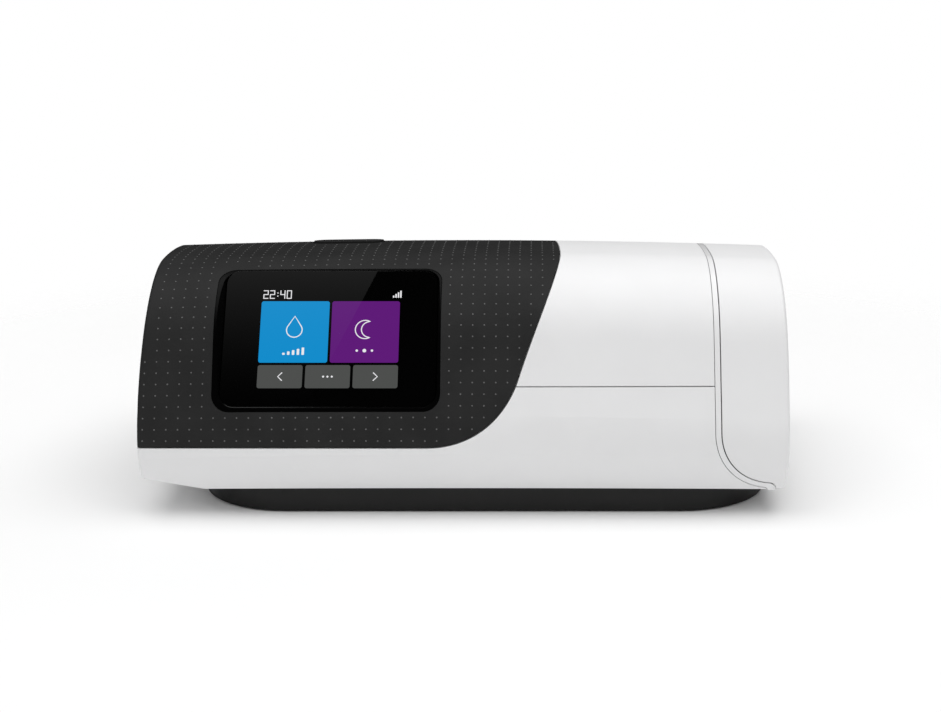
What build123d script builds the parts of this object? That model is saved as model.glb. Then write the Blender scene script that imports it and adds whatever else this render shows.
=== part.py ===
from build123d import *

import os
from functools import lru_cache
from math import asin, cos, degrees, radians, sin, sqrt, tan

# ---------------------------------------------------------------- driving sizes (mm)
# The machine stands on z = 0 with its middle over the origin: x to the right seen from
# the front, y to the rear, z up.

WIDTH = 259.4
DEPTH = 138.5
HEIGHT = 94.5

# Side view of the outer skin
BULGE_Z = 26.0          # height of the foremost point of the front
TUCK_R = 30.0           # front below the bulge
LOW_R = 34.0            # front above the bulge
LEAN = 25.0             # degrees that the flat of the front leans back
BROW_R = 44.0           # front top edge
CROWN_R = 300.0         # top
REAR_R = 48.0           # rear top edge
TAIL_R = 20.0           # rear bottom edge
CROWN_ALONG_R = 3600.0  # slight crown of the top from end to end

# End walls, each turned about a far upright axis so that the front is a little narrower
WALL_MID_Y = 36.0       # where the machine is widest
LEFT_ALONG_R = 1800.0
RIGHT_ALONG_R = 3400.0
LEFT_BOW_Z = 38.0       # the walls bow inward above this height
RIGHT_BOW_Z = 45.0
LEFT_BOW_R = 260.0
RIGHT_BOW_R = 800.0
LEFT_DRAFT = 5.6        # degrees, at the upper end of the bow
RIGHT_DRAFT = 4.5
LEFT_TUCK_R = 50.0
RIGHT_TUCK_R = 80.0
SLANT = 12.0            # degrees that the underside of the left end rises
SLANT_END = (-102.6, 10.1)
LEFT_EDGE_R = 1.7
RIGHT_EDGE_R = 1.6
SHARP = 0.3             # inner edges rounder than this are rounded, others stay sharp

# Shells and seams
WALL = 2.2
GAP = 0.4
LIP = 1.2               # lap joint behind a seam
SHELL_Z = 10.5          # lower edge of the white shells
FLANGE_T = 1.5
SEAM_Z = 50.9
FASCIA_Z = 28.6
FASCIA_ARC_X = -13.4
FASCIA_ARC_R = 37.3
FASCIA_ARC_END = 22.4   # degrees below the horizontal where the sloping edge starts
FASCIA_TOP_X = 38.9
FASCIA_REAR_Y = 41.0
FASCIA_CORNER_R = 10.0
FASCIA_ABOVE = 20.0     # how far the cutting outline runs on above the top

# Water tub end: rim and cap meet the housing on concentric arcs
TUB_SEAM_X = 121.9
TUB_SEAM_Z = 34.0
HOUSING_ARC_R = 23.0
RIM_OUTER_R = 22.8
RIM_INNER_R = 20.7
CAP_ARC_R = 20.3
HOUSING_END_X = 120.0
RIM_START_X = 120.2
RIM_END_X = 123.2
CAP_START_X = 123.6
RIM_DEPTH = 3.0
CAP_WALL = 2.4

# Base
BASE_BOTTOM = 0.6
BASE_FLOOR = 3.2
BASE_WALL = 2.5
BASE_MID_X = 7.9
BASE_LOW_SIZE = (231.0, 127.0)
BASE_TOP_SIZE = (233.0, 128.6)
BASE_CORNER_R = 37.0
FOOT_R = 6.0
FOOT_SPOTS = [(-74.0, -42.0), (-74.0, 42.0), (88.0, -42.0), (88.0, 42.0)]
SCREW_SPOTS = [(-58.0, -55.5), (48.0, -55.5), (-50.0, 55.5), (48.0, 55.5)]
SCREW_PAD_Z = 5.5
SCREW_BOSS_R = 4.0
SCREW_R = 1.5
SCREW_HEAD_R = 2.9
SCREW_HEAD_Z = 3.6
FOOT_SUNK = 0.8

# Screen, on a plane that leans back with its lower edge on the skin
SCREEN_LOW = (-65.3, 42.2)
SCREEN_HIGH = (-29.6, 91.3)
SCREEN_MID_X = -53.2
BEZEL_SIZE = (89.2, 60.8)
BEZEL_R = 7.0
BEZEL_FLARE = 0.7
GLASS_SIZE = (85.0, 58.6)
GLASS_SHIFT = (0.6, 0.45)
GLASS_R = 6.0
GLASS_T = 1.1
LCD_SIZE = (69.0, 50.0, 2.8)
FRAME_SIZE = (84.0, 57.0)
BOARD_SIZE = (92.0, 52.0)
BOARD_DEPTH = 10.4
CHIPS = [
    (-10.0, 4.0, 16.0, 16.0, 1.4),
    (12.0, 8.0, 10.0, 8.0, 1.2),
    (12.0, -8.0, 9.0, 12.0, 2.0),
    (-24.0, -12.0, 8.0, 8.0, 3.0),
]

# Start button
BUTTON_X = -51.6
BUTTON_Y = 22.0
BUTTON_SIZE = (30.0, 12.0)
BUTTON_PROUD = 0.8
BUTTON_FLANGE_Z = 87.4
BUTTON_BOARD_Z = 81.0

# Fan
FAN_X = -52.0
FAN_Y = 8.0
VOLUTE_R = 28.0
VOLUTE_STEP = 2.5
VOLUTE_TONGUE = 21.4
VOLUTE_WALL = 2.0
VOLUTE_REACH = 34.0
POD_Z = 16.0
DECK_Z = 29.0
FAN_SPLIT_Z = 31.0
FAN_TOP_Z = 46.0
EYE_R = 12.0
IMPELLER_R = 25.0
BLADES = 11
SHAFT_R = 1.5
RUNNING = 0.04

# Air path
PORT_Z = 62.0
PORT_IN_Y = -6.0
PORT_OUT_Y = 26.0
PORT_R = 9.0
DUCT_R = 7.5
DUCT_WALL = 1.5
OUTLET_X = -14.0
OUTLET_Z = 54.0
OUTLET_R = 11.0
OUTLET_BORE_R = 9.0
CUP_R = 20.0
CUP_FLOOR_Y = 48.0
MUFFLER_X = (-110.0, -37.0)
MUFFLER_FRONT_Y = -4.0
MUFFLER_REAR_Y = 58.0
MUFFLER_LEG_Y = 51.0
MUFFLER_LOW_Z = 49.0
MUFFLER_TOP_Z = 76.0
FILTER_X = (-108.0, -62.0)
FILTER_Z = (18.4, 47.6)
DOOR_HINGE_GAP = 0.05

# Tub bay and tub
BAY_X = 16.0
BAY_INSET = 7.5
BAY_REAR_Y = 50.0
BAY_Z = (14.0, 80.0)
LINER = 2.0
LINER_END_X = 118.6
TUB_CLEAR = 0.6
TUB_X = (17.5, 122.0)
TUB_WALL = 2.0
TUB_FLOOR_Z = 15.6
TUB_SPLIT_Z = (49.0, 51.0)
HEATER_X = (22.0, 94.0)
HEATER_Y = (-34.0, 38.0)

# Rear and left doors and sockets
FILTER_DOOR_X = (-110.0, -60.0)
FILTER_DOOR_Z = (17.0, 48.0)
CARD_DOOR_Y = (24.0, 48.0)
CARD_DOOR_Z = (20.0, 38.0)
CARD_DOOR_T = 1.8
CARD_MID_Y = (CARD_DOOR_Y[0] + CARD_DOOR_Y[1]) / 2
CARD_BOARD_Z = 24.4
CARD_POST_X = -100.0
PIN_R = 0.5
POWER_X = 58.0
POWER_Z = 24.0
POWER_BORE_R = 4.8

LEFT = -WIDTH / 2
RIGHT = WIDTH / 2
FRONT = -DEPTH / 2
REAR = DEPTH / 2
FAR = 150.0
EDGE_REACH = 12.0       # edges this near the ends are rounded
EDGE_LOW_Z = -3.0
EDGE_HIGH_Z = 80.0      # level edges below this are the joints between parts of a wall

# ---------------------------------------------------------------- profile geometry
# Centres of the arcs of the side view, as (y, z); every inset skin keeps the centres.

LOW_C = (FRONT + LOW_R, BULGE_Z)
TUCK_C = (FRONT + TUCK_R, BULGE_Z)
KEEL_Z = BULGE_Z - TUCK_R
TAIL_C = (REAR - TAIL_R, KEEL_Z + TAIL_R)
LOW_END_Y = LOW_C[0] - LOW_R * cos(radians(LEAN))
LOW_END_Z = LOW_C[1] + LOW_R * sin(radians(LEAN))
BROW_START_Z = HEIGHT - BROW_R * (1 - sin(radians(LEAN)))
BROW_START_Y = LOW_END_Y + (BROW_START_Z - LOW_END_Z) * tan(radians(LEAN))
BROW_C = (BROW_START_Y + BROW_R * cos(radians(LEAN)), HEIGHT - BROW_R)
CROWN_C = (BROW_C[0], HEIGHT - CROWN_R)
FALL = degrees(asin((REAR - REAR_R - CROWN_C[0]) / (CROWN_R - REAR_R)))
REAR_C = (REAR - REAR_R, CROWN_C[1] + (CROWN_R - REAR_R) * cos(radians(FALL)))
CROWN_AXIS = Axis((0, 0, HEIGHT - CROWN_ALONG_R), (0, 1, 0))
CROWN_SWEEP = degrees(asin(FAR / CROWN_ALONG_R))

SCREEN_RISE = (SCREEN_HIGH[0] - SCREEN_LOW[0], SCREEN_HIGH[1] - SCREEN_LOW[1])
SCREEN_MID = ((SCREEN_LOW[0] + SCREEN_HIGH[0]) / 2, (SCREEN_LOW[1] + SCREEN_HIGH[1]) / 2)
SCREEN = Plane(
    origin=(SCREEN_MID_X, SCREEN_MID[0], SCREEN_MID[1]),
    x_dir=(1, 0, 0),
    z_dir=(0, -SCREEN_RISE[1], SCREEN_RISE[0]),
)


def side_profile(inset=0.0):
    """Side view of the skin, `inset` inside the outer surface, as (y, z)."""
    low = CenterArc(LOW_C, LOW_R - inset, 180 - LEAN, LEAN)
    brow = CenterArc(BROW_C, BROW_R - inset, 90, 90 - LEAN)
    keel = KEEL_Z + inset
    edges = [
        CenterArc(TUCK_C, TUCK_R - inset, 180, 90),
        low,
        Line(low @ 0, brow @ 1),
        brow,
        CenterArc(CROWN_C, CROWN_R - inset, 90 - FALL, FALL),
        CenterArc(REAR_C, REAR_R - inset, 0, 90 - FALL),
        Line((REAR - inset, REAR_C[1]), (REAR - inset, TAIL_C[1])),
        CenterArc(TAIL_C, TAIL_R - inset, 270, 90),
        Line((TAIL_C[0], keel), (TUCK_C[0], keel)),
    ]
    return make_face(edges)


def left_profile(inset=0.0):
    """Front view of everything right of the left wall, as (x, z)."""
    left = LEFT + inset
    bow = CenterArc((LEFT + LEFT_BOW_R, LEFT_BOW_Z), LEFT_BOW_R - inset, 180 - LEFT_DRAFT, LEFT_DRAFT)
    top = HEIGHT + 20
    top_left = (bow @ 0).X + (top - (bow @ 0).Y) * tan(radians(LEFT_DRAFT))
    # Where the slanting underside, raised by the inset, meets the tuck of the wall
    ahead = Vector(cos(radians(SLANT)), -sin(radians(SLANT)))
    start = Vector(*SLANT_END) + Vector(sin(radians(SLANT)), cos(radians(SLANT))) * inset
    away = start - Vector(LEFT + LEFT_TUCK_R, BULGE_Z)
    along = away.dot(ahead)
    back = along + sqrt(along ** 2 - away.dot(away) + (LEFT_TUCK_R - inset) ** 2)
    corner = start - ahead * back
    low = start + ahead * (FAR - start.X)
    edges = [
        ThreePointArc((left, BULGE_Z), tuck_point(inset, (BULGE_Z + corner.Y) / 2), corner),
        Line((left, BULGE_Z), (left, LEFT_BOW_Z)),
        bow,
        Line(bow @ 0, (top_left, top)),
        Line((top_left, top), (low.X, top)),
        Line((low.X, top), low),
        Line(low, corner),
    ]
    return make_face(edges)


def tuck_point(inset, z):
    """Point of the left wall's tuck at one height."""
    reach = sqrt((LEFT_TUCK_R - inset) ** 2 - (BULGE_Z - z) ** 2)
    return (LEFT + LEFT_TUCK_R - reach, z)


def right_profile(inset=0.0):
    """Front view of everything left of the right wall, as (x, z)."""
    right = RIGHT - inset
    bow = CenterArc((RIGHT - RIGHT_BOW_R, RIGHT_BOW_Z), RIGHT_BOW_R - inset, 0, RIGHT_DRAFT)
    tuck = CenterArc((RIGHT - RIGHT_TUCK_R, BULGE_Z), RIGHT_TUCK_R - inset, -20, 20)
    top = HEIGHT + 20
    top_right = (bow @ 1).X - (top - (bow @ 1).Y) * tan(radians(RIGHT_DRAFT))
    edges = [
        tuck,
        Line((right, BULGE_Z), (right, RIGHT_BOW_Z)),
        bow,
        Line(bow @ 1, (top_right, top)),
        Line((top_right, top), (-FAR, top)),
        Line((-FAR, top), (-FAR, (tuck @ 0).Y)),
        Line((-FAR, (tuck @ 0).Y), tuck @ 0),
    ]
    return make_face(edges)


def turned_wall(profile, axis_x, reach):
    """Solid behind an end wall, turned about an upright axis far beyond the other end."""
    sweep = degrees(asin(FAR / reach))
    axis = Axis((axis_x, WALL_MID_Y, 0), (0, 0, 1))
    face = Plane((0, WALL_MID_Y, 0), x_dir=(1, 0, 0), z_dir=(0, -1, 0)) * profile
    return revolve(face, axis, 2 * sweep).rotate(axis, -sweep)


def prism_x(sketch, start, end):
    return extrude(Plane.YZ.offset(start) * sketch, amount=end - start)


def prism_y(sketch, start=-FAR, end=FAR):
    return extrude(Plane.XZ.offset(-end) * sketch, amount=end - start)


def prism_z(sketch, start, end):
    return extrude(Plane.XY.offset(start) * sketch, amount=end - start)


def rect(x_range, y_range):
    width = x_range[1] - x_range[0]
    height = y_range[1] - y_range[0]
    return Pos((x_range[0] + x_range[1]) / 2, (y_range[0] + y_range[1]) / 2) * Rectangle(width, height)


def rounded(x_range, y_range, radius):
    width = x_range[1] - x_range[0]
    height = y_range[1] - y_range[0]
    middle = Pos((x_range[0] + x_range[1]) / 2, (y_range[0] + y_range[1]) / 2)
    return middle * RectangleRounded(width, height, radius)


def block(x_range, y_range, z_range):
    return prism_z(rect(x_range, y_range), z_range[0], z_range[1])


def slab(low, high):
    """Everything between two heights."""
    return block((-FAR, FAR), (-FAR, FAR), (low, high))


def tube(outer_r, inner_r, length):
    ring = Circle(outer_r) - Circle(inner_r)
    return extrude(ring, amount=length)


@lru_cache(maxsize=None)
def form(inset=0.0):
    """The whole outer form, `inset` inside the skin, still closed below the base line."""
    turned = revolve(Plane.YZ * side_profile(inset), CROWN_AXIS, 2 * CROWN_SWEEP)
    body = turned.rotate(CROWN_AXIS, -CROWN_SWEEP)
    body &= turned_wall(left_profile(inset), LEFT + LEFT_ALONG_R, LEFT_ALONG_R - FAR)
    body &= turned_wall(right_profile(inset), RIGHT - RIGHT_ALONG_R, RIGHT_ALONG_R - FAR)
    for radius, side in ((RIGHT_EDGE_R - inset, 1), (LEFT_EDGE_R - inset, -1)):
        if radius < SHARP:
            continue
        edges = []
        for edge in body.edges():
            at_end = side * edge.center().X > RIGHT - EDGE_REACH and edge.center().Z > EDGE_LOW_Z
            level = abs(edge.tangent_at(0.5).Y) > 0.99 and edge.center().Z < EDGE_HIGH_Z
            if at_end and not level:
                edges.append(edge)
        body = fillet(edges, radius)
    return body


@lru_cache(maxsize=None)
def skin(inner=WALL, outer=0.0):
    return form(outer) - form(inner)


# ---------------------------------------------------------------- seam outlines


def fascia_outline(grow=0.0):
    """Front view of the dotted panel: level lower edge, one arc, then the sloping edge."""
    centre = (FASCIA_ARC_X, FASCIA_Z + FASCIA_ARC_R)
    arc = CenterArc(centre, FASCIA_ARC_R + grow, -90, 90 - FASCIA_ARC_END)
    start = CenterArc(centre, FASCIA_ARC_R, -90, 90 - FASCIA_ARC_END) @ 1
    mid_x = start.X + 0.46 * (FASCIA_TOP_X - start.X) + grow * cos(radians(FASCIA_ARC_END))
    mid_z = (start.Y + HEIGHT) / 2 - grow * sin(radians(FASCIA_ARC_END))
    slope = ThreePointArc(arc @ 1, (mid_x, mid_z), (FASCIA_TOP_X + grow, HEIGHT))
    onward = slope % 1
    top = slope @ 1 + onward * (FASCIA_ABOVE / onward.Y)
    edges = [
        Line((-FAR, FASCIA_Z - grow), arc @ 0),
        arc,
        slope,
        Line(slope @ 1, top),
        Line(top, (-FAR, top.Y)),
        Line((-FAR, top.Y), (-FAR, FASCIA_Z - grow)),
    ]
    return make_face(edges)


@lru_cache(maxsize=None)
def fascia_zone(grow=0.0):
    """Space that the dotted panel takes, grown by `grow` on every edge."""
    lean = tan(radians(LEAN))
    rear = FASCIA_REAR_Y + grow / cos(radians(LEAN))
    top = HEIGHT + FASCIA_ABOVE
    side = make_face(Polyline(
        (-FAR, top),
        (-FAR, 0),
        (rear - HEIGHT * lean, 0),
        (rear + FASCIA_ABOVE * lean, top),
        close=True,
    ))
    zone = prism_y(fascia_outline(grow)) & prism_x(side, -FAR - 20, FAR)
    # The rear right corner: the edges where the sloping side meets the leaning rear
    corner = []
    for edge in zone.edges():
        middle = edge.center()
        if middle.X > FASCIA_ARC_X + 20 and middle.Z > HEIGHT / 2 and abs(edge.tangent_at(0.5).Y) < 0.9:
            if middle.Y > 0:
                corner.append(edge)
    return fillet(corner, FASCIA_CORNER_R + grow)


def housing_outline(arc_r, end_x, corner_r):
    """Front view of what stays with the machine when the tub and its cap slide out."""
    foot = rect((-FAR, end_x), (-FAR, TUB_SEAM_Z)) - Pos(TUB_SEAM_X, TUB_SEAM_Z) * Circle(arc_r)
    corner = foot.vertices().filter_by(lambda v: abs(v.X - end_x) < 0.01).sort_by(Axis.Y)[-1]
    foot = fillet(corner, corner_r)
    return foot + rect((-FAR, TUB_SEAM_X - arc_r), (0, FAR))


# ---------------------------------------------------------------- shells


def pillar(spot, radius, low, high):
    """Upright cylinder between two heights."""
    return prism_z(Pos(*spot) * Circle(radius), low, high)


def door_pin_hole_y(pin_r):
    """Pin of the card door, along y in the middle of the door's thickness."""
    centre = (LEFT + CARD_DOOR_T / 2, CARD_DOOR_Z[0] + CARD_DOOR_T / 2)
    return prism_y(Pos(*centre) * Circle(pin_r), CARD_DOOR_Y[0] - 2.0, CARD_DOOR_Y[1] + 2.0)


def door_pin_hole_x(pin_r):
    """Pin of the filter door, along x in the middle of the door's thickness."""
    centre = (REAR - WALL / 2, FILTER_DOOR_Z[0] + WALL / 2)
    return prism_x(Pos(*centre) * Circle(pin_r), FILTER_DOOR_X[0] - 2.5, FILTER_DOOR_X[1] + 2.5)


def build_housings():
    shell = skin()
    keep = prism_y(housing_outline(HOUSING_ARC_R, HOUSING_END_X, 1.2))
    fascia_cut = fascia_zone(GAP)
    lap = skin(WALL + LIP, WALL)
    lap_free = skin(WALL + LIP, WALL + 0.15)
    ring = fascia_zone(2.5) - fascia_zone(-3.0)

    # Upper: shell above the seam and the ledge that the fascia rests on
    upper = (shell & slab(SEAM_Z + GAP / 2, FAR)) - fascia_cut
    ledge = lap_free & ring & slab(SEAM_Z + 3.5, FAR)
    bridge = lap & (fascia_zone(2.5) - fascia_cut) & slab(SEAM_Z + 3.5, FAR)
    upper = (upper + ledge + bridge) & keep

    # Lower: shell below the seam, flange, lap lip behind the seam, ledge for the fascia
    lower = (shell & slab(SHELL_Z, SEAM_Z - GAP / 2)) - fascia_cut
    flange_hole = rounded((-96, 96), (-50, 50), 14)
    flange = (form() & slab(SHELL_Z, SHELL_Z + FLANGE_T)) - prism_z(flange_hole, 0, SHELL_Z + 5)
    lip = (lap_free & slab(SEAM_Z - 4, SEAM_Z + 2.5)) - fascia_zone(2.5)
    lip_root = (lap & slab(SEAM_Z - 4, SEAM_Z - 1)) - fascia_zone(2.5)
    ledge = lap_free & ring & slab(SHELL_Z, SEAM_Z + 2.5)
    bridge = lap & (fascia_zone(2.5) - fascia_cut) & slab(SHELL_Z, SEAM_Z - 1)
    lower = (lower + flange + lip + lip_root + ledge + bridge) & keep
    for spot in SCREW_SPOTS:
        lower += pillar(spot, SCREW_BOSS_R, SCREW_PAD_Z, SHELL_Z + FLANGE_T)
        lower -= pillar(spot, SCREW_R, 0, SHELL_Z + FLANGE_T - 0.6)
    for y in (CARD_MID_Y - 8, CARD_MID_Y + 8):
        lower += pillar((CARD_POST_X, y), 2.5, SHELL_Z + 1.0, CARD_BOARD_Z)

    # Openings in the rear and left walls
    cup = prism_y(Pos(OUTLET_X, OUTLET_Z) * Circle(CUP_R + 2.2), CUP_FLOOR_Y - 2, FAR)
    upper -= cup
    lower -= cup
    door = rect(
        (FILTER_DOOR_X[0] - GAP, FILTER_DOOR_X[1] + GAP),
        (FILTER_DOOR_Z[0] - GAP, FILTER_DOOR_Z[1] + GAP),
    )
    lower -= prism_y(door, REAR - 8, FAR)
    card = rect(
        (CARD_DOOR_Y[0] - GAP, CARD_DOOR_Y[1] + GAP),
        (CARD_DOOR_Z[0] - GAP, CARD_DOOR_Z[1] + GAP),
    )
    lower -= prism_x(card, LEFT - 5, LEFT + 8)
    lower -= door_pin_hole_x(PIN_R)
    lower -= door_pin_hole_y(PIN_R)
    lower -= prism_y(Pos(POWER_X, POWER_Z) * RectangleRounded(16.0, 14.0, 3.0), REAR - 8, FAR)
    return upper, lower


def build_fascia():
    panel = skin() & fascia_zone()
    window = RectangleRounded(BEZEL_SIZE[0] + 0.3, BEZEL_SIZE[1] + 0.3, BEZEL_R)
    panel -= extrude(SCREEN.offset(-14) * window, 40)
    clear = 2 * GAP
    pill = Pos(BUTTON_X, BUTTON_Y) * RectangleRounded(
        BUTTON_SIZE[0] + clear, BUTTON_SIZE[1] + clear, (BUTTON_SIZE[1] + clear) / 2 - 0.01)
    panel -= prism_z(pill, 70, 120)
    board_top = BUTTON_BOARD_Z + 1.6
    for side in (-1, 1):
        boss = prism_z(Pos(BUTTON_X + side * 20.5, BUTTON_Y) * Circle(2.4), board_top, HEIGHT)
        panel += boss & form(1.0)
    return panel


def build_base():
    def outline(size, wall):
        return Pos(BASE_MID_X, 0) * RectangleRounded(
            size[0] - 2 * wall, size[1] - 2 * wall, BASE_CORNER_R - wall)

    def tapered(wall, low):
        bottom = Plane.XY.offset(low) * outline(BASE_LOW_SIZE, wall)
        return loft([bottom, Plane.XY.offset(SHELL_Z) * outline(BASE_TOP_SIZE, wall)])

    tray = tapered(0, BASE_BOTTOM) - tapered(BASE_WALL, BASE_FLOOR)
    # The left end rises to meet the slanting underside of the shell
    rise = outline(BASE_TOP_SIZE, 0) - outline(BASE_TOP_SIZE, BASE_WALL)
    rise_zone = block((-FAR, SLANT_END[0] + 6), (-FAR, FAR), (0, SHELL_Z + 3))
    tray += (prism_z(rise, SHELL_Z - 0.5, SHELL_Z + 3) & rise_zone) - form()
    for spot in SCREW_SPOTS:
        tray += pillar(spot, SCREW_BOSS_R, BASE_BOTTOM, SCREW_PAD_Z)
        tray -= pillar(spot, SCREW_HEAD_R + 0.4, 0, SCREW_HEAD_Z)
        tray -= pillar(spot, SCREW_R + 0.2, 0, SHELL_Z + 1)
    for spot in FOOT_SPOTS:
        tray -= pillar(spot, FOOT_R, 0, BASE_BOTTOM + FOOT_SUNK)
    for y in (-30, 30):
        tray += block((-90, -14), (y - 0.8, y + 0.8), (BASE_FLOOR, 8.0))
    return tray


def build_feet():
    top = BASE_BOTTOM + FOOT_SUNK
    foot = make_face(Polyline(
        (0, 0), (FOOT_R - 1.2, 0), (FOOT_R, 1.0), (FOOT_R, top), (0, top), close=True))
    turned = revolve(Plane.XZ * foot, Axis.Z)
    return Compound([Pos(x, y, 0) * turned for x, y in FOOT_SPOTS])


def build_case_screws():
    low = BASE_BOTTOM + 0.5
    tip = SHELL_Z + FLANGE_T - 0.7
    outline = make_face(Polyline(
        (0, low), (SCREW_HEAD_R, low), (SCREW_HEAD_R, SCREW_HEAD_Z), (SCREW_R, SCREW_HEAD_Z),
        (SCREW_R, tip - 0.7), (0, tip), close=True))
    screw = revolve(Plane.XZ * outline, Axis.Z)
    screw -= Pos(0, 0, low) * Cylinder(1.3, 1.4)
    return Compound([Pos(x, y, 0) * screw for x, y in SCREW_SPOTS])


# ---------------------------------------------------------------- screen and electronics


def build_screen():
    outer = extrude(SCREEN.offset(-2.2) * RectangleRounded(*BEZEL_SIZE, BEZEL_R), 14)
    glass_place = Pos(*GLASS_SHIFT)
    throat = loft([
        SCREEN * glass_place * RectangleRounded(*GLASS_SIZE, GLASS_R),
        SCREEN.offset(9.0) * RectangleRounded(
            BEZEL_SIZE[0] - BEZEL_FLARE + 1.0, BEZEL_SIZE[1] - BEZEL_FLARE + 0.6, BEZEL_R),
    ])
    glass_outline = RectangleRounded(*GLASS_SIZE, GLASS_R)
    seat = extrude(SCREEN.offset(-GLASS_T) * glass_place * glass_outline, GLASS_T + 0.01)
    window = extrude(SCREEN.offset(-4) * glass_place * RectangleRounded(
        GLASS_SIZE[0] - 5, GLASS_SIZE[1] - 5, GLASS_R - 2), 5)
    bezel = (outer & form()) - throat - seat - window
    glass = extrude(SCREEN.offset(-GLASS_T) * glass_place * RectangleRounded(
        GLASS_SIZE[0] - 0.2, GLASS_SIZE[1] - 0.2, GLASS_R - 0.1), GLASS_T)
    glass = chamfer(glass.faces().sort_by(Axis(SCREEN.origin, SCREEN.z_dir))[-1].edges(), 0.2)

    lcd_back = -GLASS_T - 0.1 - LCD_SIZE[2]
    lcd = extrude(SCREEN.offset(lcd_back) * glass_place * Rectangle(LCD_SIZE[0], LCD_SIZE[1]), LCD_SIZE[2])

    frame_back = lcd_back - 1.5
    plate = RectangleRounded(*FRAME_SIZE, 4)
    tray = RectangleRounded(LCD_SIZE[0] + 4, LCD_SIZE[1] + 4, 2)
    tray -= Rectangle(LCD_SIZE[0] + 0.4, LCD_SIZE[1] + 0.4)
    frame = extrude(SCREEN.offset(frame_back) * glass_place * plate, 1.4)
    frame += extrude(SCREEN.offset(frame_back) * glass_place * tray, 3.0)
    frame -= extrude(SCREEN.offset(frame_back) * Pos(0, 22) * Rectangle(24, 3), 2)
    screws = []
    for x in (-36, 36):
        for y in (-20, 20):
            spot = glass_place * Pos(x, y)
            ring = Circle(2.6) - Circle(1.2)
            frame += extrude(SCREEN.offset(-BOARD_DEPTH) * spot * ring, BOARD_DEPTH + frame_back + 0.2)
            shank = extrude(SCREEN.offset(-BOARD_DEPTH - 3) * spot * Circle(1.2), 7.0)
            head = extrude(SCREEN.offset(-BOARD_DEPTH - 3) * spot * Circle(2.4), 1.4)
            screws.append(shank + head)

    board = extrude(SCREEN.offset(-BOARD_DEPTH - 1.6) * RectangleRounded(*BOARD_SIZE, 2), 1.6)
    for x in (-36, 36):
        for y in (-20, 20):
            board -= extrude(SCREEN.offset(-BOARD_DEPTH - 2) * glass_place * Pos(x, y) * Circle(1.3), 3)
    under = SCREEN.offset(-BOARD_DEPTH - 1.6)
    chips = []
    for x, y, width, height, thick in CHIPS:
        chips.append(extrude(under * Pos(x, y) * RectangleRounded(width, height, 0.6), -thick))
    for x in (-14, -8, -2):
        chips.append(extrude(under * Pos(x, -16) * Circle(2.2), -4.5))
    cell = extrude(under * Pos(29, 4) * RectangleRounded(20, 24, 1), -2.6)
    cell += extrude(under * Pos(29, 4) * Rectangle(22, 26), -0.8)

    # Ribbon: leaves the panel's back edge and loops down to the board
    bend_y = 23.4
    ribbon_path = Polyline(
        (bend_y - 2.5, lcd_back - 0.2), (bend_y, lcd_back - 2.4), (bend_y, -BOARD_DEPTH + 0.2))
    ribbon_face = make_face(offset(ribbon_path, 0.15, kind=Kind.INTERSECTION).edges())
    ribbon_plane = Plane(origin=SCREEN.origin, x_dir=SCREEN.y_dir, z_dir=(1, 0, 0))
    ribbon = extrude(ribbon_plane * ribbon_face, amount=9, both=True)
    return {
        "display_bezel": bezel,
        "display_glass": glass,
        "lcd_module": lcd,
        "display_frame": frame,
        "board_screws": Compound(screws),
        "main_board": board,
        "board_chips": Compound(chips),
        "cell_module": cell,
        "display_flex": ribbon,
    }


# ---------------------------------------------------------------- start button


def build_button():
    pill = Pos(BUTTON_X, BUTTON_Y) * RectangleRounded(*BUTTON_SIZE, BUTTON_SIZE[1] / 2 - 0.01)
    flange = Pos(BUTTON_X, BUTTON_Y) * RectangleRounded(BUTTON_SIZE[0] + 3.4, BUTTON_SIZE[1] + 3.0, 6.0)
    cap = prism_z(pill, BUTTON_FLANGE_Z, HEIGHT + 5) & form(-BUTTON_PROUD)
    cap += prism_z(flange, BUTTON_FLANGE_Z, BUTTON_FLANGE_Z + 1.2)
    plunger_low = BUTTON_BOARD_Z + 1.6 + 2.4
    cap += prism_z(Pos(BUTTON_X, BUTTON_Y) * Circle(1.6), plunger_low, BUTTON_FLANGE_Z)

    board_top = BUTTON_BOARD_Z + 1.6
    board = prism_z(Pos(BUTTON_X, BUTTON_Y) * RectangleRounded(47, 17, 2), BUTTON_BOARD_Z, board_top)
    switch = prism_z(Pos(BUTTON_X, BUTTON_Y) * RectangleRounded(6.2, 6.2, 0.5), board_top, board_top + 0.8)
    switch += prism_z(Pos(BUTTON_X, BUTTON_Y) * Circle(1.5), board_top + 0.8, board_top + 1.1)

    # Silicone dome that returns the button
    top = BUTTON_FLANGE_Z
    outline = make_face(Polyline(
        (7.4, board_top), (7.4, board_top + 0.6), (5.6, board_top + 0.9), (3.4, top), (2.2, top),
        (4.8, board_top), close=True))
    dome = Pos(BUTTON_X, BUTTON_Y, 0) * revolve(Plane.XZ * outline, Axis.Z)
    return {"start_button": cap, "button_board": board, "tact_switch": switch, "button_dome": dome}


# ---------------------------------------------------------------- fan


def volute(inset=0.0):
    """Spiral of four quarter arcs, each with a larger radius, and the straight outlet."""
    centre = Vector(FAN_X, FAN_Y)
    edges = []
    radius = VOLUTE_R
    for quarter in range(4):
        start_angle = 270 + 90 * quarter
        edges.append(CenterArc(centre, radius - inset, start_angle, 90))
        angle = radians(start_angle + 90)
        centre = centre - Vector(cos(angle), sin(angle)) * VOLUTE_STEP
        radius += VOLUTE_STEP
    edges.append(Line(edges[-1] @ 1, edges[0] @ 0))
    outer_y = FAN_Y - VOLUTE_R - 4 * VOLUTE_STEP + inset
    outlet = rect((FAN_X, FAN_X + VOLUTE_REACH), (outer_y, FAN_Y - VOLUTE_TONGUE - inset))
    return make_face(edges) + outlet


def at_fan(shape, z=0.0):
    return Pos(FAN_X, FAN_Y, z) * shape


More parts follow.
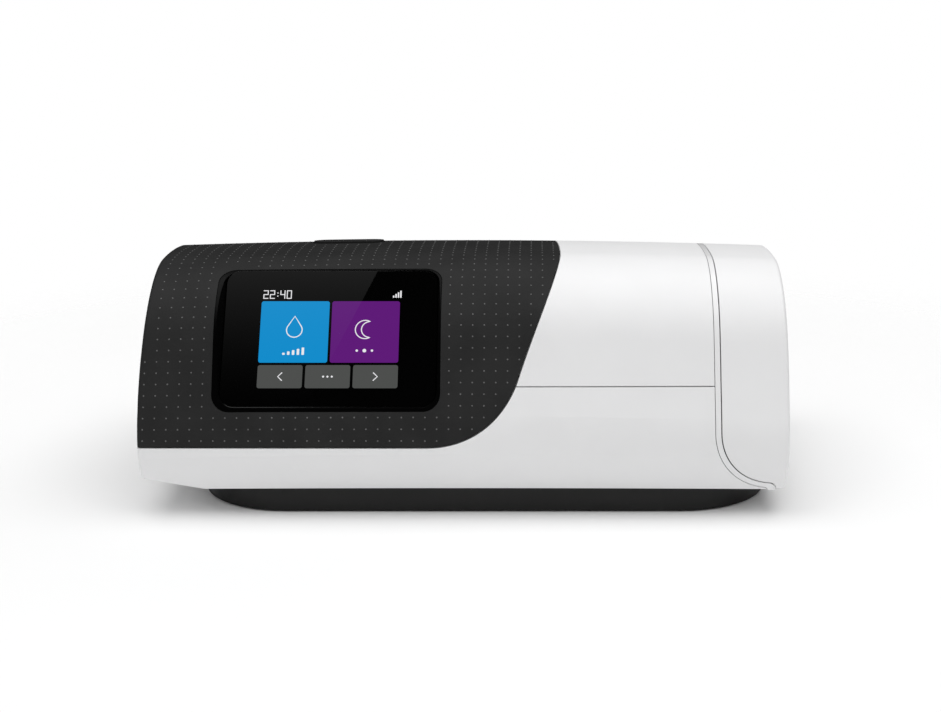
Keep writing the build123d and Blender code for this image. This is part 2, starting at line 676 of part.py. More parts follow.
def ring_z(outer_r, inner_r, low, high):
    return at_fan(tube(outer_r, inner_r, high - low), low)


def build_fan():
    outlet_y = FAN_Y - (VOLUTE_R + 4 * VOLUTE_STEP + VOLUTE_TONGUE) / 2
    outlet_z = (FAN_SPLIT_Z + FAN_TOP_Z - VOLUTE_WALL) / 2
    outlet_x = FAN_X + VOLUTE_REACH

    base = prism_z(volute(), DECK_Z, FAN_SPLIT_Z)
    base += ring_z(21.0, 19.0, POD_Z, DECK_Z)
    base += ring_z(6.0, 4.0, DECK_Z - 1.0, FAN_SPLIT_Z + 0.6)
    base -= at_fan(Cylinder(4.0, 20, align=(Align.CENTER, Align.CENTER, Align.CENTER)), DECK_Z)
    for angle in (30, 150, 270):
        lug = at_fan(Rot(0, 0, angle) * Pos(24.0, 0, 0) * Cylinder(
            4.5, 3.0, align=(Align.CENTER, Align.CENTER, Align.MIN)), POD_Z)
        arm = at_fan(Rot(0, 0, angle) * Pos(21.5, 0, 0) * Box(
            5.0, 6.0, 3.0, align=(Align.CENTER, Align.CENTER, Align.MIN)), POD_Z)
        base += (lug + arm) - at_fan(Cylinder(19.5, 60), POD_Z)

    cover = prism_z(volute(), FAN_SPLIT_Z, FAN_TOP_Z)
    cover -= prism_z(volute(VOLUTE_WALL), FAN_SPLIT_Z, FAN_TOP_Z - VOLUTE_WALL)
    cover += ring_z(EYE_R + 2.0, EYE_R, FAN_TOP_Z - 0.5, MUFFLER_LOW_Z - 0.3)
    cover -= at_fan(Cylinder(EYE_R, 12), FAN_TOP_Z)
    nozzle = prism_x(Pos(outlet_y, outlet_z) * Circle(DUCT_R), outlet_x, outlet_x + 5)
    bore = prism_x(Pos(outlet_y, outlet_z) * Circle(DUCT_R - 1.5), outlet_x - VOLUTE_WALL - 1, outlet_x + 6)
    cover = cover + nozzle - bore

    # Impeller: back plate, hub and backward-curved blades cut from thin rings
    blade_r = 17.0
    reach = Circle(IMPELLER_R) - Circle(8.0)
    arc_c = Pos(10.0, 12.0)
    bow = (arc_c * Circle(blade_r + 0.5)) - (arc_c * Circle(blade_r - 0.5))
    blade = bow & reach & (Pos(20.0, -14.0) * Rectangle(40.0, 28.0))
    impeller = extrude(Circle(IMPELLER_R), amount=1.2) + extrude(Circle(5.0), amount=9.5)
    for index in range(BLADES):
        impeller += Rot(0, 0, index * 360.0 / BLADES) * extrude(blade, amount=9.5)
    impeller -= Cylinder(SHAFT_R, 40)
    impeller = at_fan(impeller, FAN_SPLIT_Z + 1.5)

    shaft = at_fan(Cylinder(SHAFT_R, 26.0, align=(Align.CENTER, Align.CENTER, Align.MIN)), POD_Z + 0.2)
    rotor = ring_z(7.4, SHAFT_R, 19.4, 27.6)

    # Stator: yoke with six wound teeth
    teeth = Circle(18.8) - Circle(15.8)
    for index in range(6):
        turn = Rot(0, 0, index * 60.0)
        teeth += turn * Pos(12.5, 0) * Rectangle(7.6, 3.2)
        teeth += turn * ((Circle(9.6) - Circle(8.0)) & (Pos(9.0, 0) * Rectangle(4.0, 6.4)))
    stator = at_fan(extrude(teeth, amount=7.0), 20.0)
    coils = []
    for index in range(6):
        coil = Pos(12.6, 0, 0) * Box(4.6, 6.0, 9.4, align=(Align.CENTER, Align.CENTER, Align.CENTER))
        coil -= Pos(12.6, 0, 0) * Box(8.0, 3.3, 7.1)
        coils.append(at_fan(Rot(0, 0, index * 60.0) * coil, 23.5))
    plate = ring_z(19.0, 4.0, POD_Z, POD_Z + 1.6)
    plate += ring_z(6.0, 4.0, POD_Z, POD_Z + 2.4)
    bearings = Compound([
        ring_z(4.0, SHAFT_R + RUNNING, POD_Z, POD_Z + 2.4),
        ring_z(4.0, SHAFT_R + RUNNING, DECK_Z - 1.0, DECK_Z + 1.6),
    ])

    mount_outline = make_face(Polyline(
        (0, BASE_FLOOR), (4.6, BASE_FLOOR), (4.6, 6.0), (3.2, 8.0), (3.2, 12.0), (4.6, 14.0), (4.6, POD_Z),
        (0, POD_Z), close=True))
    mount = revolve(Plane.XZ * mount_outline, Axis.Z)
    mounts = []
    for angle in (30, 150, 270):
        mounts.append(at_fan(Rot(0, 0, angle) * Pos(24.0, 0, 0) * mount))
    return {
        "blower_base": base,
        "blower_cover": cover,
        "impeller": impeller,
        "motor_shaft": shaft,
        "motor_rotor": rotor,
        "motor_stator": stator,
        "motor_coils": Compound(coils),
        "motor_plate": plate,
        "motor_bearings": bearings,
        "blower_mounts": Compound(mounts),
    }


# ---------------------------------------------------------------- air path


def muffler_section(inset=0.0):
    """Side view of the silencer: over the fan, with a leg down the rear to the filter."""
    body = side_profile(7.0 + inset) & rect(
        (MUFFLER_FRONT_Y + inset, MUFFLER_REAR_Y - inset), (POD_Z + inset, MUFFLER_TOP_Z - inset))
    return body - rect((-FAR, MUFFLER_LEG_Y + inset), (0, MUFFLER_LOW_Z + inset))


def pipe(points, radii, outer_r, inner_r):
    path = FilletPolyline(*points, radius=radii)
    start = Plane(origin=path @ 0, z_dir=path % 0)
    return sweep(start * (Circle(outer_r) - Circle(inner_r)), path=path)


def build_air_path():
    box = prism_x(muffler_section(), *MUFFLER_X)
    box -= prism_x(muffler_section(1.8), MUFFLER_X[0] + 1.8, MUFFLER_X[1] - 1.8)
    box -= at_fan(Cylinder(EYE_R, 6), MUFFLER_LOW_Z)
    window = rect((FILTER_X[0] + 3, FILTER_X[1] - 3), (FILTER_Z[0] + 3, FILTER_Z[1] - 3))
    box -= prism_y(window, MUFFLER_REAR_Y - 3, MUFFLER_REAR_Y + 1)

    foam_top = MUFFLER_TOP_Z - 2.0
    foam = [
        block((-107, -84), (0, 46), (foam_top - 20, foam_top - 3)),
        block((-80, -42), (24, 46), (foam_top - 14, foam_top - 3)),
    ]
    pad_y = (MUFFLER_REAR_Y + 0.4, MUFFLER_REAR_Y + 7.0)
    pad = prism_y(rounded(FILTER_X, FILTER_Z, 3.0), *pad_y)

    outlet_y = FAN_Y - (VOLUTE_R + 4 * VOLUTE_STEP + VOLUTE_TONGUE) / 2
    outlet_z = (FAN_SPLIT_Z + FAN_TOP_Z - VOLUTE_WALL) / 2
    start_x = FAN_X + VOLUTE_REACH
    duct = pipe(
        [
            (start_x + 0.4, outlet_y, outlet_z),
            (-7.0, outlet_y, outlet_z),
            (1.0, PORT_IN_Y, PORT_Z),
            (BAY_X - LINER, PORT_IN_Y, PORT_Z),
        ],
        9.2, DUCT_R + DUCT_WALL, DUCT_R,
    )
    duct_top = PORT_Z + DUCT_R + DUCT_WALL
    sensor_x = (BAY_X - LINER - 5.4, BAY_X - LINER)
    sensor = block(sensor_x, (PORT_IN_Y - 4, PORT_IN_Y + 4), (duct_top, duct_top + 5))

    # Bellows seals between the ducts and the tub
    lip = make_face(Polyline(
        (DUCT_R, BAY_X - LINER), (PORT_R, BAY_X - LINER), (PORT_R, BAY_X), (12.0, BAY_X), (12.0, BAY_X + 0.5),
        (9.6, BAY_X + 0.9), (DUCT_R, BAY_X + 0.9), close=True))
    seal = revolve(Plane(origin=(0, 0, 0), x_dir=(0, 1, 0), z_dir=(0, 0, -1)) * lip, Axis.X)
    seals = Compound([Pos(0, y, PORT_Z) * seal for y in (PORT_IN_Y, PORT_OUT_Y)])

    # Outlet elbow, recessed cup and 22 mm stub
    elbow = pipe(
        [
            (BAY_X - LINER, PORT_OUT_Y, PORT_Z),
            (6.0, PORT_OUT_Y, PORT_Z),
            (OUTLET_X, 35.0, OUTLET_Z),
            (OUTLET_X, CUP_FLOOR_Y, OUTLET_Z),
        ],
        11.0, 10.5, OUTLET_BORE_R,
    )
    cup_ring = Circle(CUP_R + 1.8) - Circle(CUP_R)
    place = Pos(OUTLET_X, OUTLET_Z)
    cup = prism_y(place * cup_ring, CUP_FLOOR_Y - 1.8, REAR) & form()
    cup += prism_y(place * (Circle(CUP_R + 1.8) - Circle(OUTLET_BORE_R)), CUP_FLOOR_Y - 1.8, CUP_FLOOR_Y)
    cup += prism_y(place * (Circle(OUTLET_R) - Circle(OUTLET_BORE_R)), CUP_FLOOR_Y - 0.5, REAR - 1.5)
    outlet = elbow + cup
    return {
        "muffler_box": box,
        "acoustic_foam": Compound(foam),
        "air_filter": pad,
        "inlet_duct": duct,
        "flow_sensor": sensor,
        "tub_port_seals": seals,
        "air_outlet": outlet,
    }


# ---------------------------------------------------------------- tub bay and water tub


def inner_section(clear, low, corner_r):
    """Side view of the bay or tub: follows the front and top of the skin, square at the rear."""
    high = BAY_Z[1] - clear
    section = side_profile(BAY_INSET + clear) & rect((-FAR, BAY_REAR_Y - clear), (low, high))
    corners = section.vertices().filter_by(lambda v: v.Y > high - 0.1 or v.Y < low + 0.1)
    return fillet(corners, corner_r)


def bay_section(clear=0.0):
    return inner_section(clear, BAY_Z[0] + clear, 4.0)


def tub_section(wall=0.0):
    return inner_section(TUB_CLEAR + wall, TUB_FLOOR_Z + wall, 4.0 - wall)


def build_bay():
    bay = bay_section()
    outer = bay_section(-LINER)
    liner = prism_x(outer, BAY_X - LINER, TUB_SEAM_X - RIM_OUTER_R) - prism_x(bay, BAY_X, FAR)
    liner += prism_x(outer, 90, LINER_END_X) & slab(BAY_Z[0] - LINER, BAY_Z[0]) & form(WALL + 0.2)
    bulkhead = form(WALL + 0.2) & block((97.0, TUB_SEAM_X - RIM_OUTER_R - 0.2), (-FAR, FAR), (12.0, FAR))
    lap_notch = skin(WALL + LIP + GAP, WALL) & slab(SEAM_Z - 4.5, SEAM_Z + 3.0)
    liner += bulkhead - prism_x(bay, 90, FAR) - lap_notch
    heater_hole = rect((HEATER_X[0] - 1, HEATER_X[1] + 1), (HEATER_Y[0] - 1, HEATER_Y[1] + 1))
    liner -= prism_z(heater_hole, BAY_Z[0] - LINER - 1, BAY_Z[0] + 1)
    for y in (PORT_IN_Y, PORT_OUT_Y):
        liner -= prism_x(Pos(y, PORT_Z) * Circle(PORT_R), BAY_X - LINER - 1, BAY_X + 1)

    rim_outline = housing_outline(RIM_INNER_R, RIM_END_X, 3.0)
    rim_outline -= housing_outline(RIM_OUTER_R, RIM_START_X, 1.2)
    rim = skin(RIM_DEPTH) & prism_y(rim_outline) & slab(SHELL_Z - 0.6, FAR)

    plate = prism_z(rounded(HEATER_X, HEATER_Y, 6), 13.0, TUB_FLOOR_Z - 0.6)
    insulator = prism_z(rounded(HEATER_X, HEATER_Y, 6), 8.0, 13.0)
    well = rounded((HEATER_X[0] + 3, HEATER_X[1] - 3), (HEATER_Y[0] + 3, HEATER_Y[1] - 3), 4)
    insulator -= prism_z(well, 10.0, 13.0)
    pads = []
    for x in (HEATER_X[0] + 12, HEATER_X[1] - 12):
        for y in (HEATER_Y[0] + 12, HEATER_Y[1] - 12):
            pads.append(pillar((x, y), 5.0, BASE_FLOOR, 8.0))
    return {
        "tub_bay_liner": liner,
        "tub_bay_rim": rim,
        "heater_plate": plate,
        "heater_insulator": insulator,
        "heater_pads": Compound(pads),
    }


def build_tub():
    hollow = prism_x(tub_section(TUB_WALL), TUB_X[0] + TUB_WALL, TUB_X[1] - TUB_WALL)
    vessel = prism_x(tub_section(), *TUB_X) - hollow
    pan = vessel & slab(0, TUB_SPLIT_Z[0])
    gasket = vessel & slab(*TUB_SPLIT_Z)
    lid = vessel & slab(TUB_SPLIT_Z[1], FAR)
    for y in (PORT_IN_Y, PORT_OUT_Y):
        lid -= prism_x(Pos(y, PORT_Z) * Circle(DUCT_R), TUB_X[0] - 1, TUB_X[0] + TUB_WALL + 1)
    sole = rounded((HEATER_X[0] + 3, HEATER_X[1] - 3), (HEATER_Y[0] + 3, HEATER_Y[1] - 3), 5)
    lap = rounded((HEATER_X[0], HEATER_X[1]), (HEATER_Y[0], HEATER_Y[1]), 8)
    pan -= prism_z(sole, 0, TUB_FLOOR_Z + TUB_WALL + 1)
    heat = prism_z(sole, TUB_FLOOR_Z, TUB_FLOOR_Z + TUB_WALL) + prism_z(
        lap, TUB_FLOOR_Z + TUB_WALL, TUB_FLOOR_Z + TUB_WALL + 0.8)

    # Hinge of the lid at the right-hand end: three knuckles on one pin
    hinge_z = (TUB_SPLIT_Z[0] + TUB_SPLIT_Z[1]) / 2
    hinge_x = TUB_X[1] + 2.6
    knuckle = Pos(hinge_x, hinge_z) * Circle(2.3)
    pin_hole = prism_y(Pos(hinge_x, hinge_z) * Circle(1.0), -30, 30)
    web_low = rect((TUB_X[1], hinge_x + 2.3), (hinge_z - 7.0, hinge_z))
    web_high = rect((TUB_X[1], hinge_x + 2.3), (hinge_z, hinge_z + 7.0))
    pan = pan + prism_y(knuckle + web_low, -7.7, 7.7) - pin_hole
    for y in (-17.0, 8.0):
        lid += prism_y(knuckle + web_high, y, y + 9.0)
    lid -= pin_hole
    pin = prism_y(Pos(hinge_x, hinge_z) * Circle(1.0), -18.0, 18.0)

    zone = block((TUB_SEAM_X - FAR, FAR), (-FAR, FAR), (0, FAR)) - prism_y(
        housing_outline(CAP_ARC_R, CAP_START_X, 3.0))
    cap_zone = zone & slab(SHELL_Z + 0.4, FAR)
    cap = skin(CAP_WALL) & cap_zone
    cap += form() & cap_zone & slab(SHELL_Z, SHELL_Z + 2.8)
    for y in (-30.0, 28.0):
        rib = block((TUB_X[1], RIGHT - CAP_WALL + 0.5), (y - 1, y + 1), (24.0, 72.0))
        cap += rib & form(1.0)
    return {
        "tub_body": pan,
        "tub_seal": gasket,
        "tub_lid": lid,
        "tub_heat_plate": heat,
        "tub_hinge_pin": pin,
        "tub_end_cap": cap,
    }


# ---------------------------------------------------------------- doors and sockets


def build_doors():
    # Louvred filter door: full round along its lower edge, where the pin lies
    door = prism_y(rect(FILTER_DOOR_X, (FILTER_DOOR_Z[0] + WALL / 2, FILTER_DOOR_Z[1])), REAR - WALL, REAR)
    door = door & form()
    barrel = Pos(REAR - WALL / 2, FILTER_DOOR_Z[0] + WALL / 2) * Circle(WALL / 2)
    door += prism_x(barrel, *FILTER_DOOR_X)
    for row in range(6):
        z = FILTER_DOOR_Z[0] + 5.5 + row * 4.0
        middle = (FILTER_DOOR_X[0] + FILTER_DOOR_X[1]) / 2
        door -= prism_y(Pos(middle, z) * SlotOverall(38.0, 1.8), REAR - 10, FAR)
    notch = Pos((FILTER_DOOR_X[0] + FILTER_DOOR_X[1]) / 2, FILTER_DOOR_Z[1] - 1.0)
    door -= prism_y(notch * SlotOverall(12.0, 3.0), REAR - 0.9, FAR)
    door -= door_pin_hole_x(PIN_R)
    filter_pin = door_pin_hole_x(PIN_R - DOOR_HINGE_GAP)

    # Card door on the left end
    inner = LEFT + CARD_DOOR_T
    card_door = prism_x(rect(CARD_DOOR_Y, (CARD_DOOR_Z[0] + CARD_DOOR_T / 2, CARD_DOOR_Z[1])), LEFT, inner)
    card_door = card_door & form()
    barrel = Pos(LEFT + CARD_DOOR_T / 2, CARD_DOOR_Z[0] + CARD_DOOR_T / 2) * Circle(CARD_DOOR_T / 2)
    card_door += prism_y(barrel, *CARD_DOOR_Y)
    grip = Pos(CARD_MID_Y, CARD_DOOR_Z[1] - 0.6)
    card_door -= prism_x(grip * SlotOverall(8.0, 2.4), LEFT - 1, LEFT + 0.8)
    card_door -= door_pin_hole_y(PIN_R)
    card_pin = door_pin_hole_y(PIN_R - DOOR_HINGE_GAP)

    # Memory card in its socket behind the door
    card_mid = CARD_MID_Y
    board_z = CARD_BOARD_Z
    board = block((-122, -94), (card_mid - 14, card_mid + 14), (board_z, board_z + 1.6))
    socket = block((-121, -96), (card_mid - 13.5, card_mid + 13.5), (board_z + 1.6, board_z + 5.2))
    slot_z = (board_z + 2.2, board_z + 4.5)
    socket -= block((-122, -98), (card_mid - 12.1, card_mid + 12.1), slot_z)
    card_plan = Polyline(
        (-125.4, card_mid - 12), (-125.4, card_mid + 12), (-102.0, card_mid + 12), (-98.0, card_mid + 8),
        (-98.0, card_mid - 12), close=True)
    card = prism_z(make_face(card_plan), slot_z[0] + 0.1, slot_z[1] - 0.1)

    # Power inlet with its centre contact
    place = Pos(POWER_X, POWER_Z)
    inlet = prism_y(place * RectangleRounded(15.6, 13.6, 2.8), 56.0, REAR)
    inlet -= prism_y(place * Circle(POWER_BORE_R), 58.0, FAR)
    contact = prism_y(place * Circle(1.2), 57.0, 63.5)
    inlet -= contact
    return {
        "filter_door": door,
        "filter_door_pin": filter_pin,
        "card_door": card_door,
        "card_door_pin": card_pin,
        "card_board": board,
        "card_socket": socket,
        "memory_card": card,
        "power_inlet": inlet,
        "power_pin": contact,
    }


def main():
    upper, lower = build_housings()
    nodes = {
        "upper_housing": upper,
        "lower_housing": lower,
        "front_fascia": build_fascia(),
        "base_tray": build_base(),
        "rubber_feet": build_feet(),
        "case_screws": build_case_screws(),
    }
    nodes.update(build_screen())
    nodes.update(build_button())
    nodes.update(build_fan())
    nodes.update(build_air_path())
    nodes.update(build_bay())
    nodes.update(build_tub())
    nodes.update(build_doors())
    os.makedirs("parts", exist_ok=True)
    for name, shape in nodes.items():
        export_step(shape, f"parts/{name}.step")


main()
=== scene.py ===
"""Looks of the bedside breathing machine, built round its packed CAD frame. Lengths are in metres."""

import math

import bmesh
import bpy
from bpy.props import FloatProperty, FloatVectorProperty, PointerProperty
from mathutils import Matrix, Vector
from mathutils.bvhtree import BVHTree


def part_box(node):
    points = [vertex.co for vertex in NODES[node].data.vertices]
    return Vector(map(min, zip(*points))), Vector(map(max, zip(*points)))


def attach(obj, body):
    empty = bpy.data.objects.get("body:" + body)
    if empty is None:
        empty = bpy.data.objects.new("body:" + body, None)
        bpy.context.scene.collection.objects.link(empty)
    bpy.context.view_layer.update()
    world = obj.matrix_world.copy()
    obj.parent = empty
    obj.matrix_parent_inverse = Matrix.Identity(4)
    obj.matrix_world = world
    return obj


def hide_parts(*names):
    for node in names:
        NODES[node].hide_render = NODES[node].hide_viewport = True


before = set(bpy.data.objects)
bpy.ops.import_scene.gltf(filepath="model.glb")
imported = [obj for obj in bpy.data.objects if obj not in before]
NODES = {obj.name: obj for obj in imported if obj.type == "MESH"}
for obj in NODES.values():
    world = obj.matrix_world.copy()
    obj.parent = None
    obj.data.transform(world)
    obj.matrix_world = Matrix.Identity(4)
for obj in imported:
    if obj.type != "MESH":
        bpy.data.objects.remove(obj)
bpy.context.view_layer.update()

bl_info = {
    "name": "Bedside breathing machine",
    "version": (1, 0, 0),
    "blender": (4, 5, 0),
    "location": "3D View > Sidebar > Breathing machine",
    "description": "Finishes, screen picture, dotted panel and studio for the breathing machine",
    "category": "Object",
}

MM = 0.001

# Image that the camera is set for
IMAGE_WIDTH = 941
FOCAL_PIXELS = 1700.0
SENSOR = 36.0

# Camera: where it stands, how far it looks down and the image column that it looks along
CAMERA_PLACE = Vector((28.6, -699.5, 234.5)) * MM
CAMERA_DOWN = 15.0
CAMERA_CENTRE_X = 535.0
CAMERA_CLIP = (0.05, 20.0)

# Soft lights: their places, what they aim at and their sizes
LIGHT_AIM = Vector((0.0, 0.0, 0.05))
OVERHEAD_PLACE = Vector((0.0, 0.0, 1.5))
OVERHEAD_SIZE = (2.2, 1.5)
FRONT_PLACE = Vector((0.1, -1.1, 1.5))
FRONT_SIZE = (2.4, 1.0)

# Share of the sky's light that the gloss does without
SKY_GLOSS_CUT = 0.97

# Where the floor starts to fade, as a share of its reach squared
FLOOR_FADE_START = 0.12

# Card that the screen's glass mirrors: two points of its right edge, how far it runs on past
# them, its width, and how it dims from the near point to the far one
CARD_NEAR = Vector((-0.184, -0.845, 1.5))
CARD_FAR = Vector((-0.304, -1.079, 1.5))
CARD_SPARE = 0.27
CARD_WIDTH = 0.42
CARD_DIMMING = 0.65
CARD_CURVE = 3.4

# Radius of the machine's slight crown from left to right
CROWN_RADIUS = 3.6

# Grid of dots: its step, one column and the lowest row, then columns counted from that one
DOT_PITCH = 4.59 * MM
DOT_COLUMN_X = -14.28 * MM
DOT_ROW_Z = 31.3 * MM
DOT_LEFT_COLUMN = -24
DOT_TALL_COLUMN = 4
DOT_RIGHT_COLUMN = 12
DOT_MOST_ROWS = 60
DOT_LEAST_COUNT = 200

# Bare margins round the dots: at the panel's seams and round the screen's opening
DOT_EDGE = 2.4 * MM
DOT_SCREEN_EDGE = 1.3 * MM

# The left end: no dot where the panel has dropped this much at this distance to the left,
# and the end wall is where the panel's normal points left by more than this
DOT_END_EDGE = 0.8 * MM
DOT_END_DROP = 0.08 * MM
END_WALL_FACING = -0.6

# How far a wanted place may lie off the panel, how far off it one has passed the panel's edge,
# how short a step shows that a row has met its end, and how deep the screen's opening counts
SKIN_OFF = 1.5 * MM
SKIN_PASSED = 0.55 * MM
SHORT_STEP = 0.6 * DOT_PITCH
SCREEN_DEPTH = 20 * MM

# One dot: its sides, how deep its rim is sunk, and its shoulder as shares of radius and height
DOT_SIDES = 8
DOT_SUNK = 0.02 * MM
DOT_SHOULDER = (0.62, 0.75)

# Lit picture on the screen, in millimetres from the middle of the glass
TILE_Y = (-10.5, 15.75)
LEFT_TILE_X = (-27.9, -0.7)
RIGHT_TILE_X = (0.3, 27.3)
TILE_CORNER = 0.9
KEY_Y = (-21.2, -11.5)
KEY_GAP = 1.1
KEY_WIDTH = (RIGHT_TILE_X[1] - LEFT_TILE_X[0] - 2 * KEY_GAP) / 3
SIGN_LINE = 0.42
DROP_Y = 3.4
LEVELS_Y = -7.2
MOON_Y = 3.6
STARS_Y = -5.4
SIGNAL_PLACE = (24.4, 17.3)
CLOCK_PLACE = (-27.2, 17.0)
CLOCK_HEIGHT = 3.3
CLOCK_TIME = "22:40"
BAR_HEIGHT = 0.9

# How far the tiles and keys stand off the glass; the signs stand off twice as far
PICTURE_LIFT = 0.03 * MM

# Soft pads: steps along one side, how far they stand in from their boxes, the least and most
# that the gap between the foam blocks may be, and the share of the relief on the lower faces
PAD_STEPS = 44
PAD_INSET = 0.5 * MM
FOAM_STEPS = 40
FOAM_INSET = 0.4 * MM
FOAM_GAP = (3 * MM, 6 * MM)
LOWER_RELIEF = 0.3


# ---------------------------------------------------------------- settings


class ShellSettings(bpy.types.PropertyGroup):
    """Colours and grain of the white shells"""

    white: FloatVectorProperty(
        name="White", description="Colour of the moulded shells", subtype="COLOR",
        default=(0.84, 0.84, 0.845), min=0.0, max=1.0)
    roughness: FloatProperty(
        name="Roughness", description="Roughness of the fine satin skin", default=0.42, min=0.0, max=1.0)
    edge_radius: FloatProperty(
        name="Edge radius", description="Rounding of the shells' seam edges",
        default=0.35 * MM, min=0.0, unit="LENGTH", subtype="DISTANCE")
    grain_size: FloatProperty(
        name="Grain size", description="Size of the grain of the mould", default=0.35 * MM,
        min=0.0001, unit="LENGTH", subtype="DISTANCE")


class PanelSettings(bpy.types.PropertyGroup):
    """Colours and dots of the black panel"""

    black: FloatVectorProperty(
        name="Black", description="Colour of the dotted panel", subtype="COLOR",
        default=(0.022, 0.022, 0.022), min=0.0, max=1.0)
    dot: FloatVectorProperty(
        name="Dot", description="Colour of the dots", subtype="COLOR",
        default=(0.11, 0.11, 0.11), min=0.0, max=1.0)
    dot_radius: FloatProperty(
        name="Dot radius", description="Radius of one raised dot", default=0.36 * MM,
        min=0.0001, unit="LENGTH", subtype="DISTANCE")
    dot_height: FloatProperty(
        name="Dot height", description="How far a dot stands proud", default=0.12 * MM,
        min=0.00001, unit="LENGTH", subtype="DISTANCE")
    base: FloatVectorProperty(
        name="Base", description="Colour of the base under the shells", subtype="COLOR",
        default=(0.007, 0.007, 0.0068), min=0.0, max=1.0)


class ScreenSettings(bpy.types.PropertyGroup):
    """Colours of the lit picture"""

    left_tile: FloatVectorProperty(
        name="Left tile", description="Colour of the left tile", subtype="COLOR",
        default=(0.004, 0.27, 0.62), min=0.0, max=1.0)
    right_tile: FloatVectorProperty(
        name="Right tile", description="Colour of the right tile", subtype="COLOR",
        default=(0.117, 0.0105, 0.193), min=0.0, max=1.0)
    keys: FloatVectorProperty(
        name="Keys", description="Colour of the small keys", subtype="COLOR",
        default=(0.077, 0.08, 0.077), min=0.0, max=1.0)
    signs: FloatVectorProperty(
        name="Signs", description="Colour of the signs and digits", subtype="COLOR",
        default=(0.86, 0.86, 0.88), min=0.0, max=1.0)
    glow: FloatProperty(
        name="Glow", description="Strength of the lit picture", default=1.0, min=0.0)


class StageSettings(bpy.types.PropertyGroup):
    """Studio round the machine"""

    overhead: FloatProperty(
        name="Overhead", description="Power of the large soft box above", default=19.9,
        min=0.0, unit="POWER")
    front: FloatProperty(
        name="Front", description="Power of the soft fill in front", default=4.1,
        min=0.0, unit="POWER")
    card: FloatProperty(
        name="Card", description="Brightness of the card that shows in the screen's glass",
        default=0.33, min=0.0)
    sky: FloatProperty(
        name="Sky", description="Strength of the even light from all round", default=0.51, min=0.0)
    floor_reach: FloatProperty(
        name="Floor reach", description="Radius at which the floor has faded into the white round it",
        default=0.45, min=0.3, unit="LENGTH", subtype="DISTANCE")


SETTINGS = (
    ("machine_shell", ShellSettings),
    ("machine_panel", PanelSettings),
    ("machine_screen", ScreenSettings),
    ("machine_stage", StageSettings),
)


# ---------------------------------------------------------------- shader maths


class Value:
    """An output socket, with the arithmetic that the finishes are written in."""

    def __init__(self, graph, socket):
        self.graph = graph
        self.socket = socket

    def maths(self, operation, other=None):
        values = (self,) if other is None else (self, other)
        return self.graph.number(operation, *values)

    def __add__(self, other):
        return self.maths("ADD", other)

    __radd__ = __add__

    def __sub__(self, other):
        return self.maths("SUBTRACT", other)

    def __rsub__(self, other):
        return self.graph.number("SUBTRACT", other, self)

    def __mul__(self, other):
        return self.maths("MULTIPLY", other)

    __rmul__ = __mul__

    def __truediv__(self, other):
        return self.maths("DIVIDE", other)

    def __rtruediv__(self, other):
        return self.graph.number("DIVIDE", other, self)

    def __pow__(self, other):
        return self.maths("POWER", other)

    def __rpow__(self, other):
        return self.graph.number("POWER", other, self)

    def wave(self):
        return self.maths("SINE")

    def least(self, other):
        return self.maths("MINIMUM", other)

    def most(self, other):
        return self.maths("MAXIMUM", other)

    def step(self, low, high):
        """0 below `low`, 1 above `high`, smooth between; falls where low is above high."""
        node = self.graph.node("ShaderNodeMapRange", {"interpolation_type": "SMOOTHSTEP"}, {
            "Value": self, "From Min": low, "From Max": high, "To Min": 0.0, "To Max": 1.0})
        return node["Result"]


class Made:
    """A node that was added: its outputs by name or number."""

    def __init__(self, graph, node):
        self.graph = graph
        self.node = node

    def __getitem__(self, key):
        return Value(self.graph, self.node.outputs[key])


class Graph:
    """Node tree of a material or of the sky, emptied and built up again."""

    def __init__(self, owner):
        owner.use_nodes = True
        self.tree = owner.node_tree
        self.tree.nodes.clear()

    def node(self, kind, settings=None, sockets=None):
        """Adds a node: settings first, then the values or links of its sockets."""
        made = self.tree.nodes.new(kind)
        for key, value in (settings or {}).items():
            setattr(made, key, value)
        for key, value in (sockets or {}).items():
            self.feed(made.inputs[key], value)
        return Made(self, made)

    def feed(self, socket, value):
        """Links a value to a socket, or sets it there; a colour may come without its alpha."""
        if isinstance(value, Value):
            self.tree.links.new(value.socket, socket)
        elif socket.type == "RGBA" and len(value) == 3:
            socket.default_value = (*value, 1.0)
        else:
            socket.default_value = value

    def number(self, operation, *values):
        """Result of a Math node."""
        return self.node("ShaderNodeMath", {"operation": operation}, dict(enumerate(values)))["Value"]


